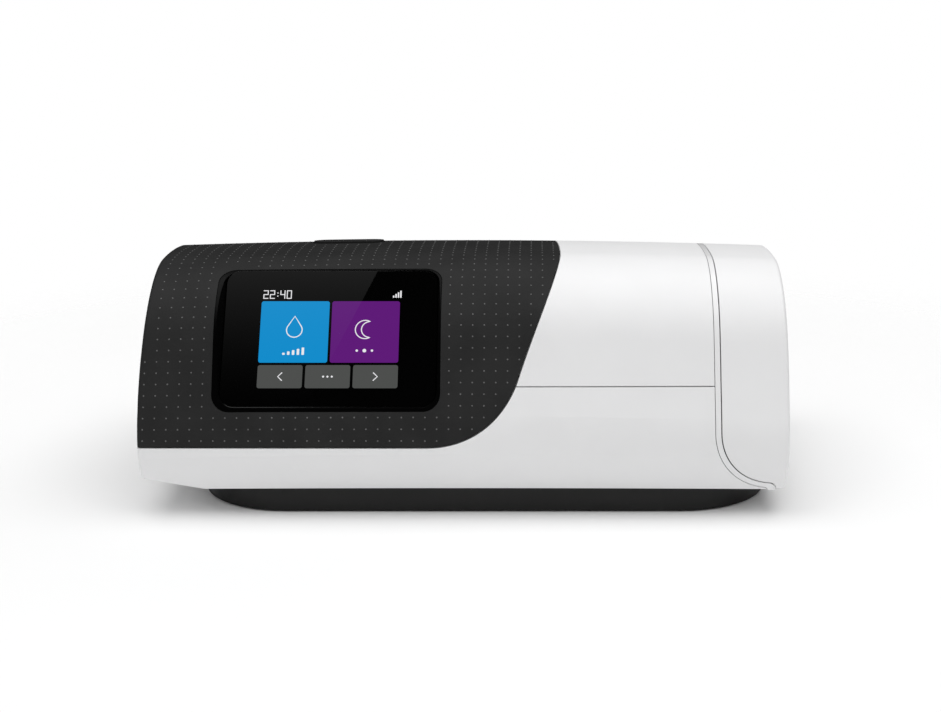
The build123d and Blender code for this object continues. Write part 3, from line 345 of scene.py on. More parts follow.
class Finish(Graph):
    """One material being built round a Principled shader."""

    def __init__(self, name):
        self.material = bpy.data.materials.new(name)
        super().__init__(self.material)
        self.out = self.node("ShaderNodeOutputMaterial").node
        self.place = None

    def blend(self, factor, first, second):
        """Colour between two colours; the Mix node's colour sockets have no names of their own."""
        made = self.node("ShaderNodeMix", {"data_type": "RGBA"}, {0: factor, 6: first, 7: second})
        return made[2]

    def position(self):
        """The surface point, in metres."""
        if self.place is None:
            self.place = self.node("ShaderNodeTexCoord")["Object"]
        return self.place

    def axes(self):
        """x, y and z of the surface point, in metres."""
        parts = self.node("ShaderNodeSeparateXYZ", None, {"Vector": self.position()})
        return parts["X"], parts["Y"], parts["Z"]

    def stretched(self, x, y, z):
        """The surface point with its axes scaled, for features longer along one of them."""
        made = self.node("ShaderNodeVectorMath", {"operation": "MULTIPLY"}, {
            0: self.position(), 1: (x, y, z)})
        return made["Vector"]

    def noise(self, size, detail=2.0, where=None, roughness=0.5):
        """Noise whose features are about `size` across, from 0 to 1."""
        made = self.node("ShaderNodeTexNoise", None, {
            "Vector": where or self.position(), "Scale": 1.0 / size, "Detail": detail,
            "Roughness": roughness})
        return made["Fac"]

    def cells(self, size):
        """Distance from the nearest of points about `size` apart, 0 at each."""
        made = self.node("ShaderNodeTexVoronoi", None, {"Vector": self.position(), "Scale": 1.0 / size})
        return made["Distance"]

    def bump(self, height, depth, under=None):
        """Normal of a relief over `under`: `height` runs from 0 to 1 and `depth` is in metres."""
        sockets = {"Height": height, "Distance": depth, "Strength": 1.0}
        if under is not None:
            sockets["Normal"] = under
        return self.node("ShaderNodeBump", None, sockets)["Normal"]

    def rounded(self, radius):
        """Normal with its edges rounded."""
        return self.node("ShaderNodeBevel", {"samples": 4}, {"Radius": radius})["Normal"]

    def shader(self, **sockets):
        """The finished material; a socket's name is given with _ for its spaces."""
        names = {key.replace("_", " "): value for key, value in sockets.items()}
        made = self.node("ShaderNodeBsdfPrincipled", None, names)
        self.tree.links.new(made.node.outputs["BSDF"], self.out.inputs["Surface"])
        return self.material


# ---------------------------------------------------------------- finishes


def tinted(colour, share, added=0.0):
    """The colour made lighter or darker, up to white."""
    return tuple(min(1.0, share * part + added) for part in colour)


def white_finish(name, shell, roughness, grain=0.012 * MM):
    """Moulded white shell: fine spark grain, a trace of mottle, softened seam edges."""
    finish = Finish(name)
    mottle = finish.noise(30 * MM, 3.0)
    colour = finish.blend(mottle.step(0.35, 0.65), tinted(shell.white, 0.985), shell.white)
    relief = finish.noise(shell.grain_size, 3.0, roughness=0.6)
    normal = finish.bump(relief, grain, finish.rounded(shell.edge_radius))
    worn = finish.noise(9 * MM, 2.0)
    return finish.shader(
        Base_Color=colour, Roughness=roughness - 0.03 + worn * 0.06, Normal=normal, IOR=1.46)


def black_finish(name, colour, roughness, edge, grain=0.02 * MM, shine=0.5):
    """Moulded dark plastic: grain, slight changes of gloss, light caught on its edges."""
    finish = Finish(name)
    mottle = finish.noise(18 * MM, 3.0)
    shade = finish.blend(mottle.step(0.3, 0.7), colour, tinted(colour, 1.18))
    relief = finish.noise(0.4 * MM, 3.0, roughness=0.65)
    normal = finish.bump(relief, grain, finish.rounded(edge))
    worn = finish.noise(6 * MM, 2.0)
    return finish.shader(
        Base_Color=shade, Roughness=roughness - 0.04 + worn * 0.08, Normal=normal, IOR=1.47,
        Specular_IOR_Level=shine)


def gloss_finish(name, colour, roughness, edge, shine=0.5):
    """Polished plastic or glass with faint smears that show only in its gloss."""
    finish = Finish(name)
    smear = finish.noise(14 * MM, 4.0, where=finish.stretched(1.0, 1.0, 2.5))
    fine = finish.noise(1.2 * MM, 2.0)
    normal = finish.bump(fine, 0.0004 * MM, finish.rounded(edge))
    return finish.shader(
        Base_Color=finish.blend(smear.step(0.4, 0.8), colour, tinted(colour, 1.1)),
        Roughness=roughness + smear * 0.01, Normal=normal, IOR=1.5, Specular_IOR_Level=shine)


def lit_finish(name, colour, glow):
    """One colour of the lit picture, in fine picture points, as glossy as the glass."""
    finish = Finish(name)
    dots = finish.cells(0.12 * MM)
    shade = finish.blend(dots.step(0.0, 0.9), colour, tinted(colour, 0.93))
    return finish.shader(
        Base_Color=(0.001, 0.001, 0.001), Roughness=0.002 + 0.01 * finish.noise(14 * MM, 3.0),
        IOR=1.5, Emission_Color=shade, Emission_Strength=glow)


def rubber_finish(name, colour, roughness=0.7):
    """Moulded rubber or silicone, dusted in patches."""
    finish = Finish(name)
    dust = finish.noise(4 * MM, 4.0)
    shade = finish.blend(dust.step(0.45, 0.8), colour, tinted(colour, 1.3, 0.01))
    normal = finish.bump(finish.noise(0.5 * MM, 3.0), 0.03 * MM)
    return finish.shader(
        Base_Color=shade, Roughness=roughness - 0.1 + dust * 0.15, Normal=normal, IOR=1.45)


def brushed_finish(name, colour, roughness, along):
    """Metal drawn along one axis."""
    finish = Finish(name)
    ratio = {"x": (0.03, 1.0, 1.0), "y": (1.0, 0.03, 1.0), "z": (1.0, 1.0, 0.03)}[along]
    drawn = finish.noise(0.25 * MM, 3.0, where=finish.stretched(*ratio))
    stain = finish.noise(12 * MM, 3.0)
    return finish.shader(
        Base_Color=finish.blend(stain.step(0.3, 0.75), tinted(colour, 0.82), colour), Metallic=1.0,
        Roughness=roughness - 0.08 + drawn * 0.16, Normal=finish.bump(drawn, 0.004 * MM))


def board_finish(name):
    """Green circuit board: solder mask over a maze of tracks, with plated pads."""
    finish = Finish(name)
    tracks = finish.node("ShaderNodeTexBrick", {"offset": 0.37, "squash": 0.6, "squash_frequency": 3}, {
        "Vector": finish.position(), "Scale": 1.0, "Brick Width": 7.3 * MM, "Row Height": 1.6 * MM,
        "Mortar Size": 0.18 * MM, "Color1": (0, 0, 0), "Color2": (0, 0, 0), "Mortar": (1, 1, 1)})["Fac"]
    pads = finish.cells(2.9 * MM).step(0.16, 0.11)
    mask = finish.blend(tracks, (0.008, 0.075, 0.03), (0.015, 0.13, 0.05))
    return finish.shader(
        Base_Color=finish.blend(pads, mask, (0.75, 0.6, 0.3)), Metallic=pads,
        Roughness=0.3 + 0.1 * finish.noise(3 * MM), Normal=finish.bump(tracks.most(pads), 0.03 * MM))


def fibre_finish(name, colour):
    """Matted fibres of the filter pad, darker where they lie low as painted shade in the hollows."""
    finish = Finish(name)
    strands = finish.noise(0.35 * MM, 5.0, where=finish.stretched(1.0, 3.0, 0.5), roughness=0.75)
    crossed = finish.noise(0.35 * MM, 5.0, where=finish.stretched(0.5, 3.0, 1.2), roughness=0.75)
    mat = strands.most(crossed)
    return finish.shader(
        # Painted shade: the colour darkens where the fibres lie low, the same mask that sinks the relief
        Base_Color=finish.blend(mat.step(0.35, 0.7), tinted(colour, 0.72), colour), Roughness=0.95,
        Normal=finish.bump(mat, 0.25 * MM), Sheen_Weight=0.25, Sheen_Roughness=0.5)


def foam_finish(name, colour):
    """Open cells of the silencer foam, darker in the cell hollows as painted shade."""
    finish = Finish(name)
    pores = finish.cells(1.1 * MM)
    return finish.shader(
        # Painted shade: the colour falls to a quarter of the foam's own in the pores, where the relief is
        # hollow
        Base_Color=finish.blend(pores.step(0.2, 0.55), tinted(colour, 0.25), colour), Roughness=0.95,
        Normal=finish.bump(pores.step(0.1, 0.5), 0.3 * MM))


def clear_finish(name, colour):
    """Clear moulded plastic of the water tub, a little hazed by use."""
    finish = Finish(name)
    haze = finish.noise(16 * MM, 4.0)
    normal = finish.bump(finish.noise(5 * MM, 2.0), 0.01 * MM)
    return finish.shader(
        Base_Color=colour, Roughness=0.04 + 0.1 * haze.step(0.45, 0.8), Normal=normal,
        IOR=1.49, Transmission_Weight=1.0)


def wire_finish(name):
    """Enamelled copper windings, dark in the grooves between turns as painted shade."""
    finish = Finish(name)
    wire = 0.42 * MM
    _, _, z = finish.axes()
    turns = (z * (2 * math.pi / wire)).wave() * 0.5 + 0.5
    return finish.shader(
        # Painted shade: the copper darkens towards the grooves between the turns, following the same
        # relief as the bump
        Base_Color=finish.blend(turns, (0.28, 0.09, 0.025), (0.75, 0.3, 0.1)), Metallic=0.9,
        Roughness=0.28 + 0.2 * (1 - turns), Normal=finish.bump(turns, 0.12 * MM))


# ---------------------------------------------------------------- helpers for pieces


def scene_settings(name):
    """One group of the settings in the sidebar."""
    return getattr(bpy.context.scene, name)


def paint(material, *names):
    """Gives CAD nodes a material."""
    for name in names:
        data = NODES[name].data
        data.materials.clear()
        data.materials.append(material)


def add_piece(name, mesh, material, smooth=True):
    """Puts a mesh into the scene as a piece of one material."""
    piece = bpy.data.objects.new(name, mesh)
    bpy.context.scene.collection.objects.link(piece)
    mesh.materials.append(material)
    if smooth:
        mesh.shade_smooth()
    return piece


def mesh_from(form, name):
    """Mesh of a finished bmesh form, which is given up."""
    mesh = bpy.data.meshes.new(name)
    form.to_mesh(mesh)
    form.free()
    return mesh


def surface_of(node):
    """Surface of a CAD node, for finding its nearest point."""
    return BVHTree.FromObject(NODES[node], bpy.context.evaluated_depsgraph_get())


def crown_drop(x):
    """How far the machine's crowned top has sunk at `x`."""
    return CROWN_RADIUS - math.sqrt(CROWN_RADIUS ** 2 - x ** 2)


def middle(values):
    """Halfway between the least and the greatest."""
    values = list(values)
    return (min(values) + max(values)) / 2


def arc(x, y, radius, start, sweep, steps):
    """Points along an arc, both ends included; angles in degrees."""
    angles = [math.radians(start + sweep * index / steps) for index in range(steps + 1)]
    return [(x + radius * math.cos(angle), y + radius * math.sin(angle)) for angle in angles]


def glass_plane():
    """Frame of the glass: its middle, x to the right, y up the slope and z out of the front."""
    mesh = NODES["display_glass"].data
    # Faces that look to the front and up
    facing = [face for face in mesh.polygons if face.normal.y < -0.5 and face.normal.z > 0.3]
    front = max(facing, key=lambda face: face.area)
    out = front.normal.normalized()
    across = Vector((1.0, 0.0, 0.0))
    up = out.cross(across).normalized()
    points = [mesh.vertices[index].co for face in facing for index in face.vertices]
    high = max(point.dot(out) for point in points)
    flat = [point for point in points if point.dot(out) > high - 0.01 * MM]
    plane = Matrix((across, up, out)).transposed().to_4x4()
    centre = across * middle(point.x for point in flat) + up * middle(point.dot(up) for point in flat)
    plane.translation = centre + out * high
    return plane


class Flat:
    """Flat shapes in millimetres, laid on a plane as one mesh."""

    def __init__(self, plane, lift=PICTURE_LIFT):
        self.plane = plane
        self.lift = lift
        self.form = bmesh.new()

    def face(self, points):
        """One flat face with its corners at these points."""
        places = [self.plane @ Vector((x * MM, y * MM, self.lift)) for x, y in points]
        self.form.faces.new([self.form.verts.new(place) for place in places])

    def plate(self, x_range, y_range, corner, steps=5):
        """Rectangle with rounded corners."""
        left, right = x_range[0] + corner, x_range[1] - corner
        low, high = y_range[0] + corner, y_range[1] - corner
        points = []
        for x, y, start in ((right, high, 0), (left, high, 90), (left, low, 180), (right, low, 270)):
            points += arc(x, y, corner, start, 90, steps)
        self.face(points)

    def disc(self, x, y, radius, sides):
        """Round face."""
        self.face(arc(x, y, radius, 0, 360, sides)[:-1])

    def bars(self, x, y, count, step, width, rise, corner, steps):
        """Bars on one foot line, each of them higher than the last by `rise`."""
        for index in range(count):
            left = x + index * step
            self.plate((left, left + width), (y, y + BAR_HEIGHT + index * rise), corner, steps)

    def band(self, points, width, closed=False):
        """Line of one width through points, with square ends."""
        points = [Vector(point) for point in points]
        count = len(points)
        rims = []
        for index, point in enumerate(points):
            before = points[index - 1] if index or closed else point
            after = points[(index + 1) % count] if index + 1 < count or closed else point
            run = (after - before).normalized()
            side = Vector((-run.y, run.x)) * width / 2
            rims.append((point + side, point - side))
        following = rims[1:] + rims[:1] if closed else rims[1:]
        for (left, right), (next_left, next_right) in zip(rims, following):
            self.face([right, next_right, next_left, left])

    def piece(self, name, material):
        """The shapes as one piece that faces out of the glass."""
        bmesh.ops.recalc_face_normals(self.form, faces=self.form.faces)
        out = self.plane.to_3x3() @ Vector((0.0, 0.0, 1.0))
        for face in self.form.faces:
            if face.normal.dot(out) < 0:
                face.normal_flip()
        made = add_piece(name, mesh_from(self.form, name), material, smooth=False)
        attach(made, "machine")


class DotGrid:
    """Lays low domes at equal steps over the panel, in rows that follow its height."""

    def __init__(self, radius, height):
        self.radius = radius
        self.height = height
        self.form = bmesh.new()
        self.count = 0
        self.skin = surface_of("front_fascia")
        self.glass = glass_plane()
        low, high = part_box("display_bezel")
        slope = (self.glass.to_3x3() @ Vector((0.0, 1.0, 0.0))).z
        # Half the opening's width, and half its height up the slope
        self.opening = ((high.x - low.x) / 2, (high.z - low.z) / 2 / slope)

    def nearest(self, point):
        """The panel's nearest point and its normal, where the panel is near."""
        found, normal, _, distance = self.skin.find_nearest(point)
        if found is None or distance > SKIN_OFF:
            return None
        return found, normal

    def on_screen(self, point):
        """True over the screen's opening and the margin round it."""
        local = self.glass.inverted() @ point
        in_x = abs(local.x) < self.opening[0] + DOT_SCREEN_EDGE
        in_y = abs(local.y) < self.opening[1] + DOT_SCREEN_EDGE
        return in_x and in_y and local.z > -SCREEN_DEPTH

    def near_edge(self, point, normal):
        """True where the panel ends within the margin in any of eight directions, but for its end wall."""
        side = normal.orthogonal().normalized()
        for turn in range(8):
            way = Matrix.Rotation(math.pi * turn / 4, 3, normal) @ side
            found, facing, _, distance = self.skin.find_nearest(point + way * DOT_EDGE)
            if found is None or (distance > SKIN_PASSED and facing.x >= END_WALL_FACING):
                return True
        return False

    def near_end(self, point):
        """True beside the upright edge where the panel falls away onto the end wall."""
        found, _, _, drop = self.skin.find_nearest(point - Vector((DOT_END_EDGE, 0.0, 0.0)))
        return found is None or drop > DOT_END_DROP

    def dome(self, point, normal):
        """One dot, where the panel has room for it."""
        if self.on_screen(point) or self.near_edge(point, normal) or self.near_end(point):
            return
        side = normal.orthogonal().normalized()
        other = normal.cross(side)
        rims = []
        for share, lift in ((1.0, -DOT_SUNK), (DOT_SHOULDER[0], DOT_SHOULDER[1] * self.height)):
            rim = []
            for across, along in arc(0, 0, 1, 0, 360, DOT_SIDES)[:-1]:
                out = side * across + other * along
                rim.append(self.form.verts.new(point + out * self.radius * share + normal * lift))
            rims.append(rim)
        top = self.form.verts.new(point + normal * self.height)
        for index in range(DOT_SIDES):
            after = (index + 1) % DOT_SIDES
            self.form.faces.new((rims[0][index], rims[0][after], rims[1][after], rims[1][index]))
            self.form.faces.new((rims[1][index], rims[1][after], top))
        self.count += 1

    def walk(self, start, way, steps):
        """Equal steps over the skin from `start`, until it ends."""
        place = self.nearest(start)
        while place is not None and steps > 0:
            point, normal = place
            yield point, normal
            along = (way - normal * way.dot(normal)).normalized()
            there = self.nearest(point + along * DOT_PITCH)
            if there is None:
                return
            there = self.nearest(point + (there[0] - point).normalized() * DOT_PITCH)
            if there is None or (there[0] - point).length < SHORT_STEP:
                return
            way = (there[0] - point).normalized()
            place = there
            steps -= 1

    def rows(self):
        """One point of each row: the lowest row's from below the screen, the others' from right of it."""
        up = Vector((0.0, 0.0, 1.0))
        low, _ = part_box("front_fascia")
        first = list(self.walk(Vector((DOT_COLUMN_X, low.y, DOT_ROW_Z)), up, 2))
        if len(first) < 2:
            raise RuntimeError("the dotted panel is not where its dots start")
        shifted = first[1][0] + Vector((DOT_TALL_COLUMN * DOT_PITCH, 0.0, 0.0))
        return [first[0][0]] + [point for point, _ in self.walk(shifted, up, DOT_MOST_ROWS)]

    def lay(self):
        """Dots along every row, each row sinking with the machine's crown as it rises."""
        low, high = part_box("front_fascia")
        for row in self.rows():
            share = (row.z - low.z) / (high.z - low.z)
            for column in range(DOT_LEFT_COLUMN, DOT_RIGHT_COLUMN):
                x = DOT_COLUMN_X + column * DOT_PITCH
                sunk = share * (crown_drop(x) - crown_drop(row.x))
                place = self.nearest(Vector((x, row.y, row.z - sunk)))
                if place is not None:
                    self.dome(*place)


# ---------------------------------------------------------------- operators


class MACHINE_OT_shells(bpy.types.Operator):
    """Finish the white shells, the doors, the tub's cap and the glossy rim"""

    bl_idname = "machine.shells"
    bl_label = "White shells"

    def execute(self, context):
        shell = scene_settings("machine_shell")
        white = white_finish("satin_white", shell, shell.roughness)
        paint(white, "upper_housing", "lower_housing", "filter_door", "card_door", "tub_end_cap")
        paint(white_finish("glossy_white", shell, 0.2, grain=0.002 * MM), "tub_bay_rim")
        return {"FINISHED"}


class MACHINE_OT_black_parts(bpy.types.Operator):
    """Finish the black panel, its button, the base, the tub bay, the inlet and the outlet"""

    bl_idname = "machine.black_parts"
    bl_label = "Black parts"

    def execute(self, context):
        panel = scene_settings("machine_panel")
        edge = scene_settings("machine_shell").edge_radius
        panel_black = black_finish("satin_black_panel", panel.black, 0.6, edge, shine=0.1)
        paint(panel_black, "front_fascia", "start_button")
        base_black = black_finish(
            "satin_black_base", panel.base, 0.5, 1.3 * edge, grain=0.03 * MM, shine=0.3)
        paint(base_black, "base_tray")
        socket_black = black_finish("black_socket", tinted(panel.base, 2), 0.4, edge)
        paint(socket_black, "power_inlet", "tub_bay_liner")
        paint(black_finish("grey_moulding", (0.1, 0.1, 0.105), 0.48, edge), "air_outlet")
        return {"FINISHED"}


class MACHINE_OT_dots(bpy.types.Operator):
    """Raise the even grid of dots on the black panel"""

    bl_idname = "machine.dots"
    bl_label = "Dots"

    def execute(self, context):
        panel = scene_settings("machine_panel")
        dots = DotGrid(panel.dot_radius, panel.dot_height)
        dots.lay()
        if dots.count < DOT_LEAST_COUNT:
            raise RuntimeError("the dotted panel has almost no dots")
        material = black_finish("dot_grey", panel.dot, 0.5, 0.05 * MM, shine=0.3)
        piece = add_piece("fascia_dots", mesh_from(dots.form, "fascia_dots"), material)
        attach(piece, "machine")
        return {"FINISHED"}


class MACHINE_OT_screen(bpy.types.Operator):
    """Finish the screen's frame and glass and light its picture"""

    bl_idname = "machine.screen"
    bl_label = "Screen"

    def execute(self, context):
        colours = scene_settings("machine_screen")
        bezel = gloss_finish("black_bezel", (0.001, 0.001, 0.001), 0.3, 0.3 * MM, shine=0.06)
        paint(bezel, "display_bezel")
        paint(gloss_finish("black_glass", (0.0002, 0.0002, 0.0002), 0.002, 0.1 * MM), "display_glass")
        plane = glass_plane()
        self.tiles(plane, colours)
        self.signs(plane, lit_finish("lit_signs", colours.signs, colours.glow))
        return {"FINISHED"}

    @staticmethod
    def tiles(plane, colours):
        """Two tiles and the row of three keys under them."""
        left, right, keys = Flat(plane), Flat(plane), Flat(plane)
        left.plate(LEFT_TILE_X, TILE_Y, TILE_CORNER)
        right.plate(RIGHT_TILE_X, TILE_Y, TILE_CORNER)
        for index in range(3):
            x = LEFT_TILE_X[0] + index * (KEY_WIDTH + KEY_GAP)
            keys.plate((x, x + KEY_WIDTH), KEY_Y, TILE_CORNER)
        left.piece("screen_left_tile", lit_finish("lit_left_tile", colours.left_tile, colours.glow))
        right.piece("screen_right_tile", lit_finish("lit_right_tile", colours.right_tile, colours.glow))
        keys.piece("screen_keys", lit_finish("lit_keys", colours.keys, colours.glow))

    def signs(self, plane, material):
        """Signs on the tiles and keys, the clock and the signal bars, as one piece."""
        flat = Flat(plane, 2 * PICTURE_LIFT)
        left_x = sum(LEFT_TILE_X) / 2
        right_x = sum(RIGHT_TILE_X) / 2
        self.drop(flat, left_x, DROP_Y)
        flat.bars(left_x - 4.3, LEVELS_Y, count=5, step=1.9, width=1.0, rise=0.55, corner=0.2, steps=2)
        self.moon(flat, right_x, MOON_Y)
        for shift, size in ((-3.0, 0.5), (0.0, 0.75), (3.0, 0.5)):
            flat.disc(right_x + shift, STARS_Y, size, sides=16)
        self.key_signs(flat)
        self.clock(flat, *CLOCK_PLACE, CLOCK_HEIGHT)
        flat.bars(*SIGNAL_PLACE, count=4, step=0.95, width=0.6, rise=0.7, corner=0.05, steps=1)
        flat.piece("screen_signs", material)

    @staticmethod
    def drop(flat, x, y):
        """Outline of a water drop: a round foot and straight sides that meet in its tip."""
        radius, tip = 3.1, 5.9
        lean = math.degrees(math.asin(radius / tip))
        foot = arc(x, y, radius, 180 - lean, 180 + 2 * lean, 24)
        flat.band([(x, y + tip)] + foot, SIGN_LINE, closed=True)

    @staticmethod
    def moon(flat, x, y):
        """Outline of a crescent: the inner arc goes back between the tips of the outer one."""
        radius, shift = 3.9, 1.9
        outer = arc(x, y, radius, 60, 240, 24)
        tip_x, tip_y = outer[-1]
        start = math.degrees(math.atan2(tip_y - y, tip_x - x - shift))
        inner_radius = math.hypot(tip_y - y, tip_x - x - shift)
        inner = arc(x + shift, y, inner_radius, start, -2 * (180 + start), 20)
        flat.band(outer + inner[1:-1], SIGN_LINE, closed=True)

    @staticmethod
    def key_signs(flat):
        """Arrows on the outer keys and three dots on the middle one."""
        y = sum(KEY_Y) / 2
        first = LEFT_TILE_X[0] + KEY_WIDTH / 2
        last = RIGHT_TILE_X[1] - KEY_WIDTH / 2
        for x, way in ((first, -1), (last, 1)):
            tail = x - 0.9 * way
            flat.band([(tail, y + 1.7), (x + 0.8 * way, y), (tail, y - 1.7)], SIGN_LINE)
        for shift in (-1.7, 0, 1.7):
            flat.disc((first + last) / 2 + shift, y, SIGN_LINE, sides=14)

    @staticmethod
    def clock(flat, x, y, height):
        """Time of day in plain digits, each made of up to seven bars."""
        bars = {
            "0": "abcdef", "1": "bc", "2": "abged", "3": "abgcd", "4": "fgbc",
            "5": "afgcd", "6": "afgedc", "7": "abc", "8": "abcdefg", "9": "abcdfg",
        }
        width = half = height / 2
        thick = 0.11 * height
        grow = thick / 2
        ends = {
            "a": ((0, height), (width, height)), "b": ((width, half), (width, height)),
            "c": ((width, 0), (width, half)), "d": ((0, 0), (width, 0)),
            "e": ((0, 0), (0, half)), "f": ((0, half), (0, height)), "g": ((0, half), (width, half)),
        }
        for mark in CLOCK_TIME:
            if mark == ":":
                for share in (0.3, 0.7):
                    flat.disc(x + thick, y + share * height, 0.7 * thick, sides=12)
                x += 4.2 * thick
                continue
            for bar in bars[mark]:
                (left, low), (right, high) = ends[bar]
                flat.plate(
                    (x + left - grow, x + right + grow), (y + low - grow, y + high + grow),
                    0.4 * grow, steps=2)
            x += width + 2.6 * thick


class MACHINE_OT_inner_parts(bpy.types.Operator):
    """Finish the parts inside: boards, fan, ducts, heater, tub and fasteners"""

    bl_idname = "machine.inner_parts"
    bl_label = "Inner parts"

    def execute(self, context):
        steel = brushed_finish("drawn_steel", (0.6, 0.6, 0.6), 0.32, "z")
        paint(steel, "case_screws", "board_screws", "motor_shaft", "motor_bearings", "filter_door_pin",
              "card_door_pin", "tub_hinge_pin", "motor_stator")
        plate = brushed_finish("brushed_plate", (0.68, 0.69, 0.7), 0.3, "x")
        paint(plate, "heater_plate", "tub_heat_plate", "lcd_module", "card_socket", "cell_module")
        paint(brushed_finish("plated_contact", (0.83, 0.66, 0.32), 0.25, "y"), "power_pin", "display_flex")
        paint(board_finish("circuit_board"), "main_board", "button_board", "card_board")
        chips = black_finish("chip_black", (0.02, 0.02, 0.021), 0.5, 0.1 * MM)
        paint(chips, "board_chips", "tact_switch", "flow_sensor", "memory_card", "motor_rotor")
        grey = black_finish("grey_inner_moulding", (0.2, 0.205, 0.21), 0.5, 0.3 * MM)
        paint(grey, "display_frame", "blower_base", "blower_cover", "motor_plate", "muffler_box",
              "heater_insulator")
        paint(rubber_finish("silicone", (0.62, 0.63, 0.65), 0.5), "blower_mounts", "inlet_duct",
              "tub_port_seals", "heater_pads", "tub_seal", "button_dome")
        paint(rubber_finish("dark_rubber", (0.05, 0.05, 0.05)), "rubber_feet")
        paint(wire_finish("copper_wire"), "motor_coils")
        paint(clear_finish("clear_plastic", (0.93, 0.95, 0.96)), "tub_body", "tub_lid")
        shell = scene_settings("machine_shell")
        paint(white_finish("white_rotor", shell, 0.35), "impeller")
        return {"FINISHED"}


class MACHINE_OT_soft_pads(bpy.types.Operator):
    """Make the filter's fibre pad and the silencer's foam blocks"""

    bl_idname = "machine.soft_pads"
    bl_label = "Filter pad and foam"

    def execute(self, context):
        fibre = fibre_finish("filter_fibre", (0.82, 0.84, 0.86))
        pad = self.block("filter_pad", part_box("air_filter"), PAD_STEPS, PAD_INSET, self.quilt, fibre)
        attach(pad, "machine")
        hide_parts("air_filter")
        foam = foam_finish("silencer_foam", (0.2, 0.2, 0.21))
        for number, box in enumerate(self.foam_boxes()):
            name = f"silencer_foam_{number + 1}"
            piece = self.block(name, box, FOAM_STEPS, FOAM_INSET, self.egg_crate, foam)
            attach(piece, "machine")
            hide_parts("acoustic_foam")
        return {"FINISHED"}

    @staticmethod
    def foam_boxes():
        """Boxes of the two foam blocks, one each side of the gap between them."""
        points = [vertex.co for vertex in NODES["acoustic_foam"].data.vertices]
        across = sorted({round(point.x, 5) for point in points})
        least, most = FOAM_GAP
        gaps = [pair for pair in zip(across, across[1:]) if least < pair[1] - pair[0] < most]
        if not gaps:
            raise RuntimeError("the silencer foam is not in two blocks")
        parting = middle(gaps[0])
        boxes = []
        for side in (-1, 1):
            axes = list(zip(*(point for point in points if (point.x - parting) * side > 0)))
            boxes.append((Vector(map(min, axes)), Vector(map(max, axes))))
        return boxes

    @staticmethod
    def quilt(u, v):
        """Nine pressed pleats that fade towards the pad's thinned rim."""
        pleat = 0.5 + 0.5 * math.cos(2 * math.pi * 9 * u)
        inside = min(1.0, 12 * min(u, 1 - u, v, 1 - v))
        return 0.16 * pleat * inside + 0.25 * (1 - inside) ** 2

    @staticmethod
    def egg_crate(u, v):
        """Rows of rounded peaks."""
        return 0.22 * (1 - math.sin(math.pi * 4 * u) ** 2 * math.sin(math.pi * 3 * v) ** 2)

    @staticmethod
    def block(name, box, steps, inset, relief, material):
        """Box whose two largest faces carry a relief, cut into the box's own depth."""
        low, high = (Vector(corner) for corner in box)
        size = high - low
        thin = min(range(3), key=lambda axis: size[axis])
        first, second = [axis for axis in range(3) if axis != thin]
        rows = max(8, round(steps * size[second] / size[first]))
        form = bmesh.new()
        rims = []
        for upper in (False, True):
            grid = []
            for j in range(rows + 1):
                line = []
                for i in range(steps + 1):
                    u, v = i / steps, j / rows
                    point = Vector((0.0, 0.0, 0.0))
                    point[first] = low[first] + inset + (size[first] - 2 * inset) * u
                    point[second] = low[second] + inset + (size[second] - 2 * inset) * v
                    cut = relief(u, v) * size[thin]
                    point[thin] = high[thin] - cut if upper else low[thin] + LOWER_RELIEF * cut
                    line.append(form.verts.new(point))
                grid.append(line)
            for line, above in zip(grid, grid[1:]):
                for i in range(steps):
                    quad = [line[i], line[i + 1], above[i + 1], above[i]]
                    form.faces.new(quad if upper else quad[::-1])
            far_end = [line[-1] for line in grid[1:]]
            near_end = [line[0] for line in grid[-2:0:-1]]
            rims.append(grid[0] + far_end + grid[-1][-2::-1] + near_end)
        count = len(rims[0])
        for index in range(count):
            after = (index + 1) % count
            form.faces.new((rims[0][index], rims[0][after], rims[1][after], rims[1][index]))
        bmesh.ops.recalc_face_normals(form, faces=form.faces)
        return add_piece(name, mesh_from(form, name), material)


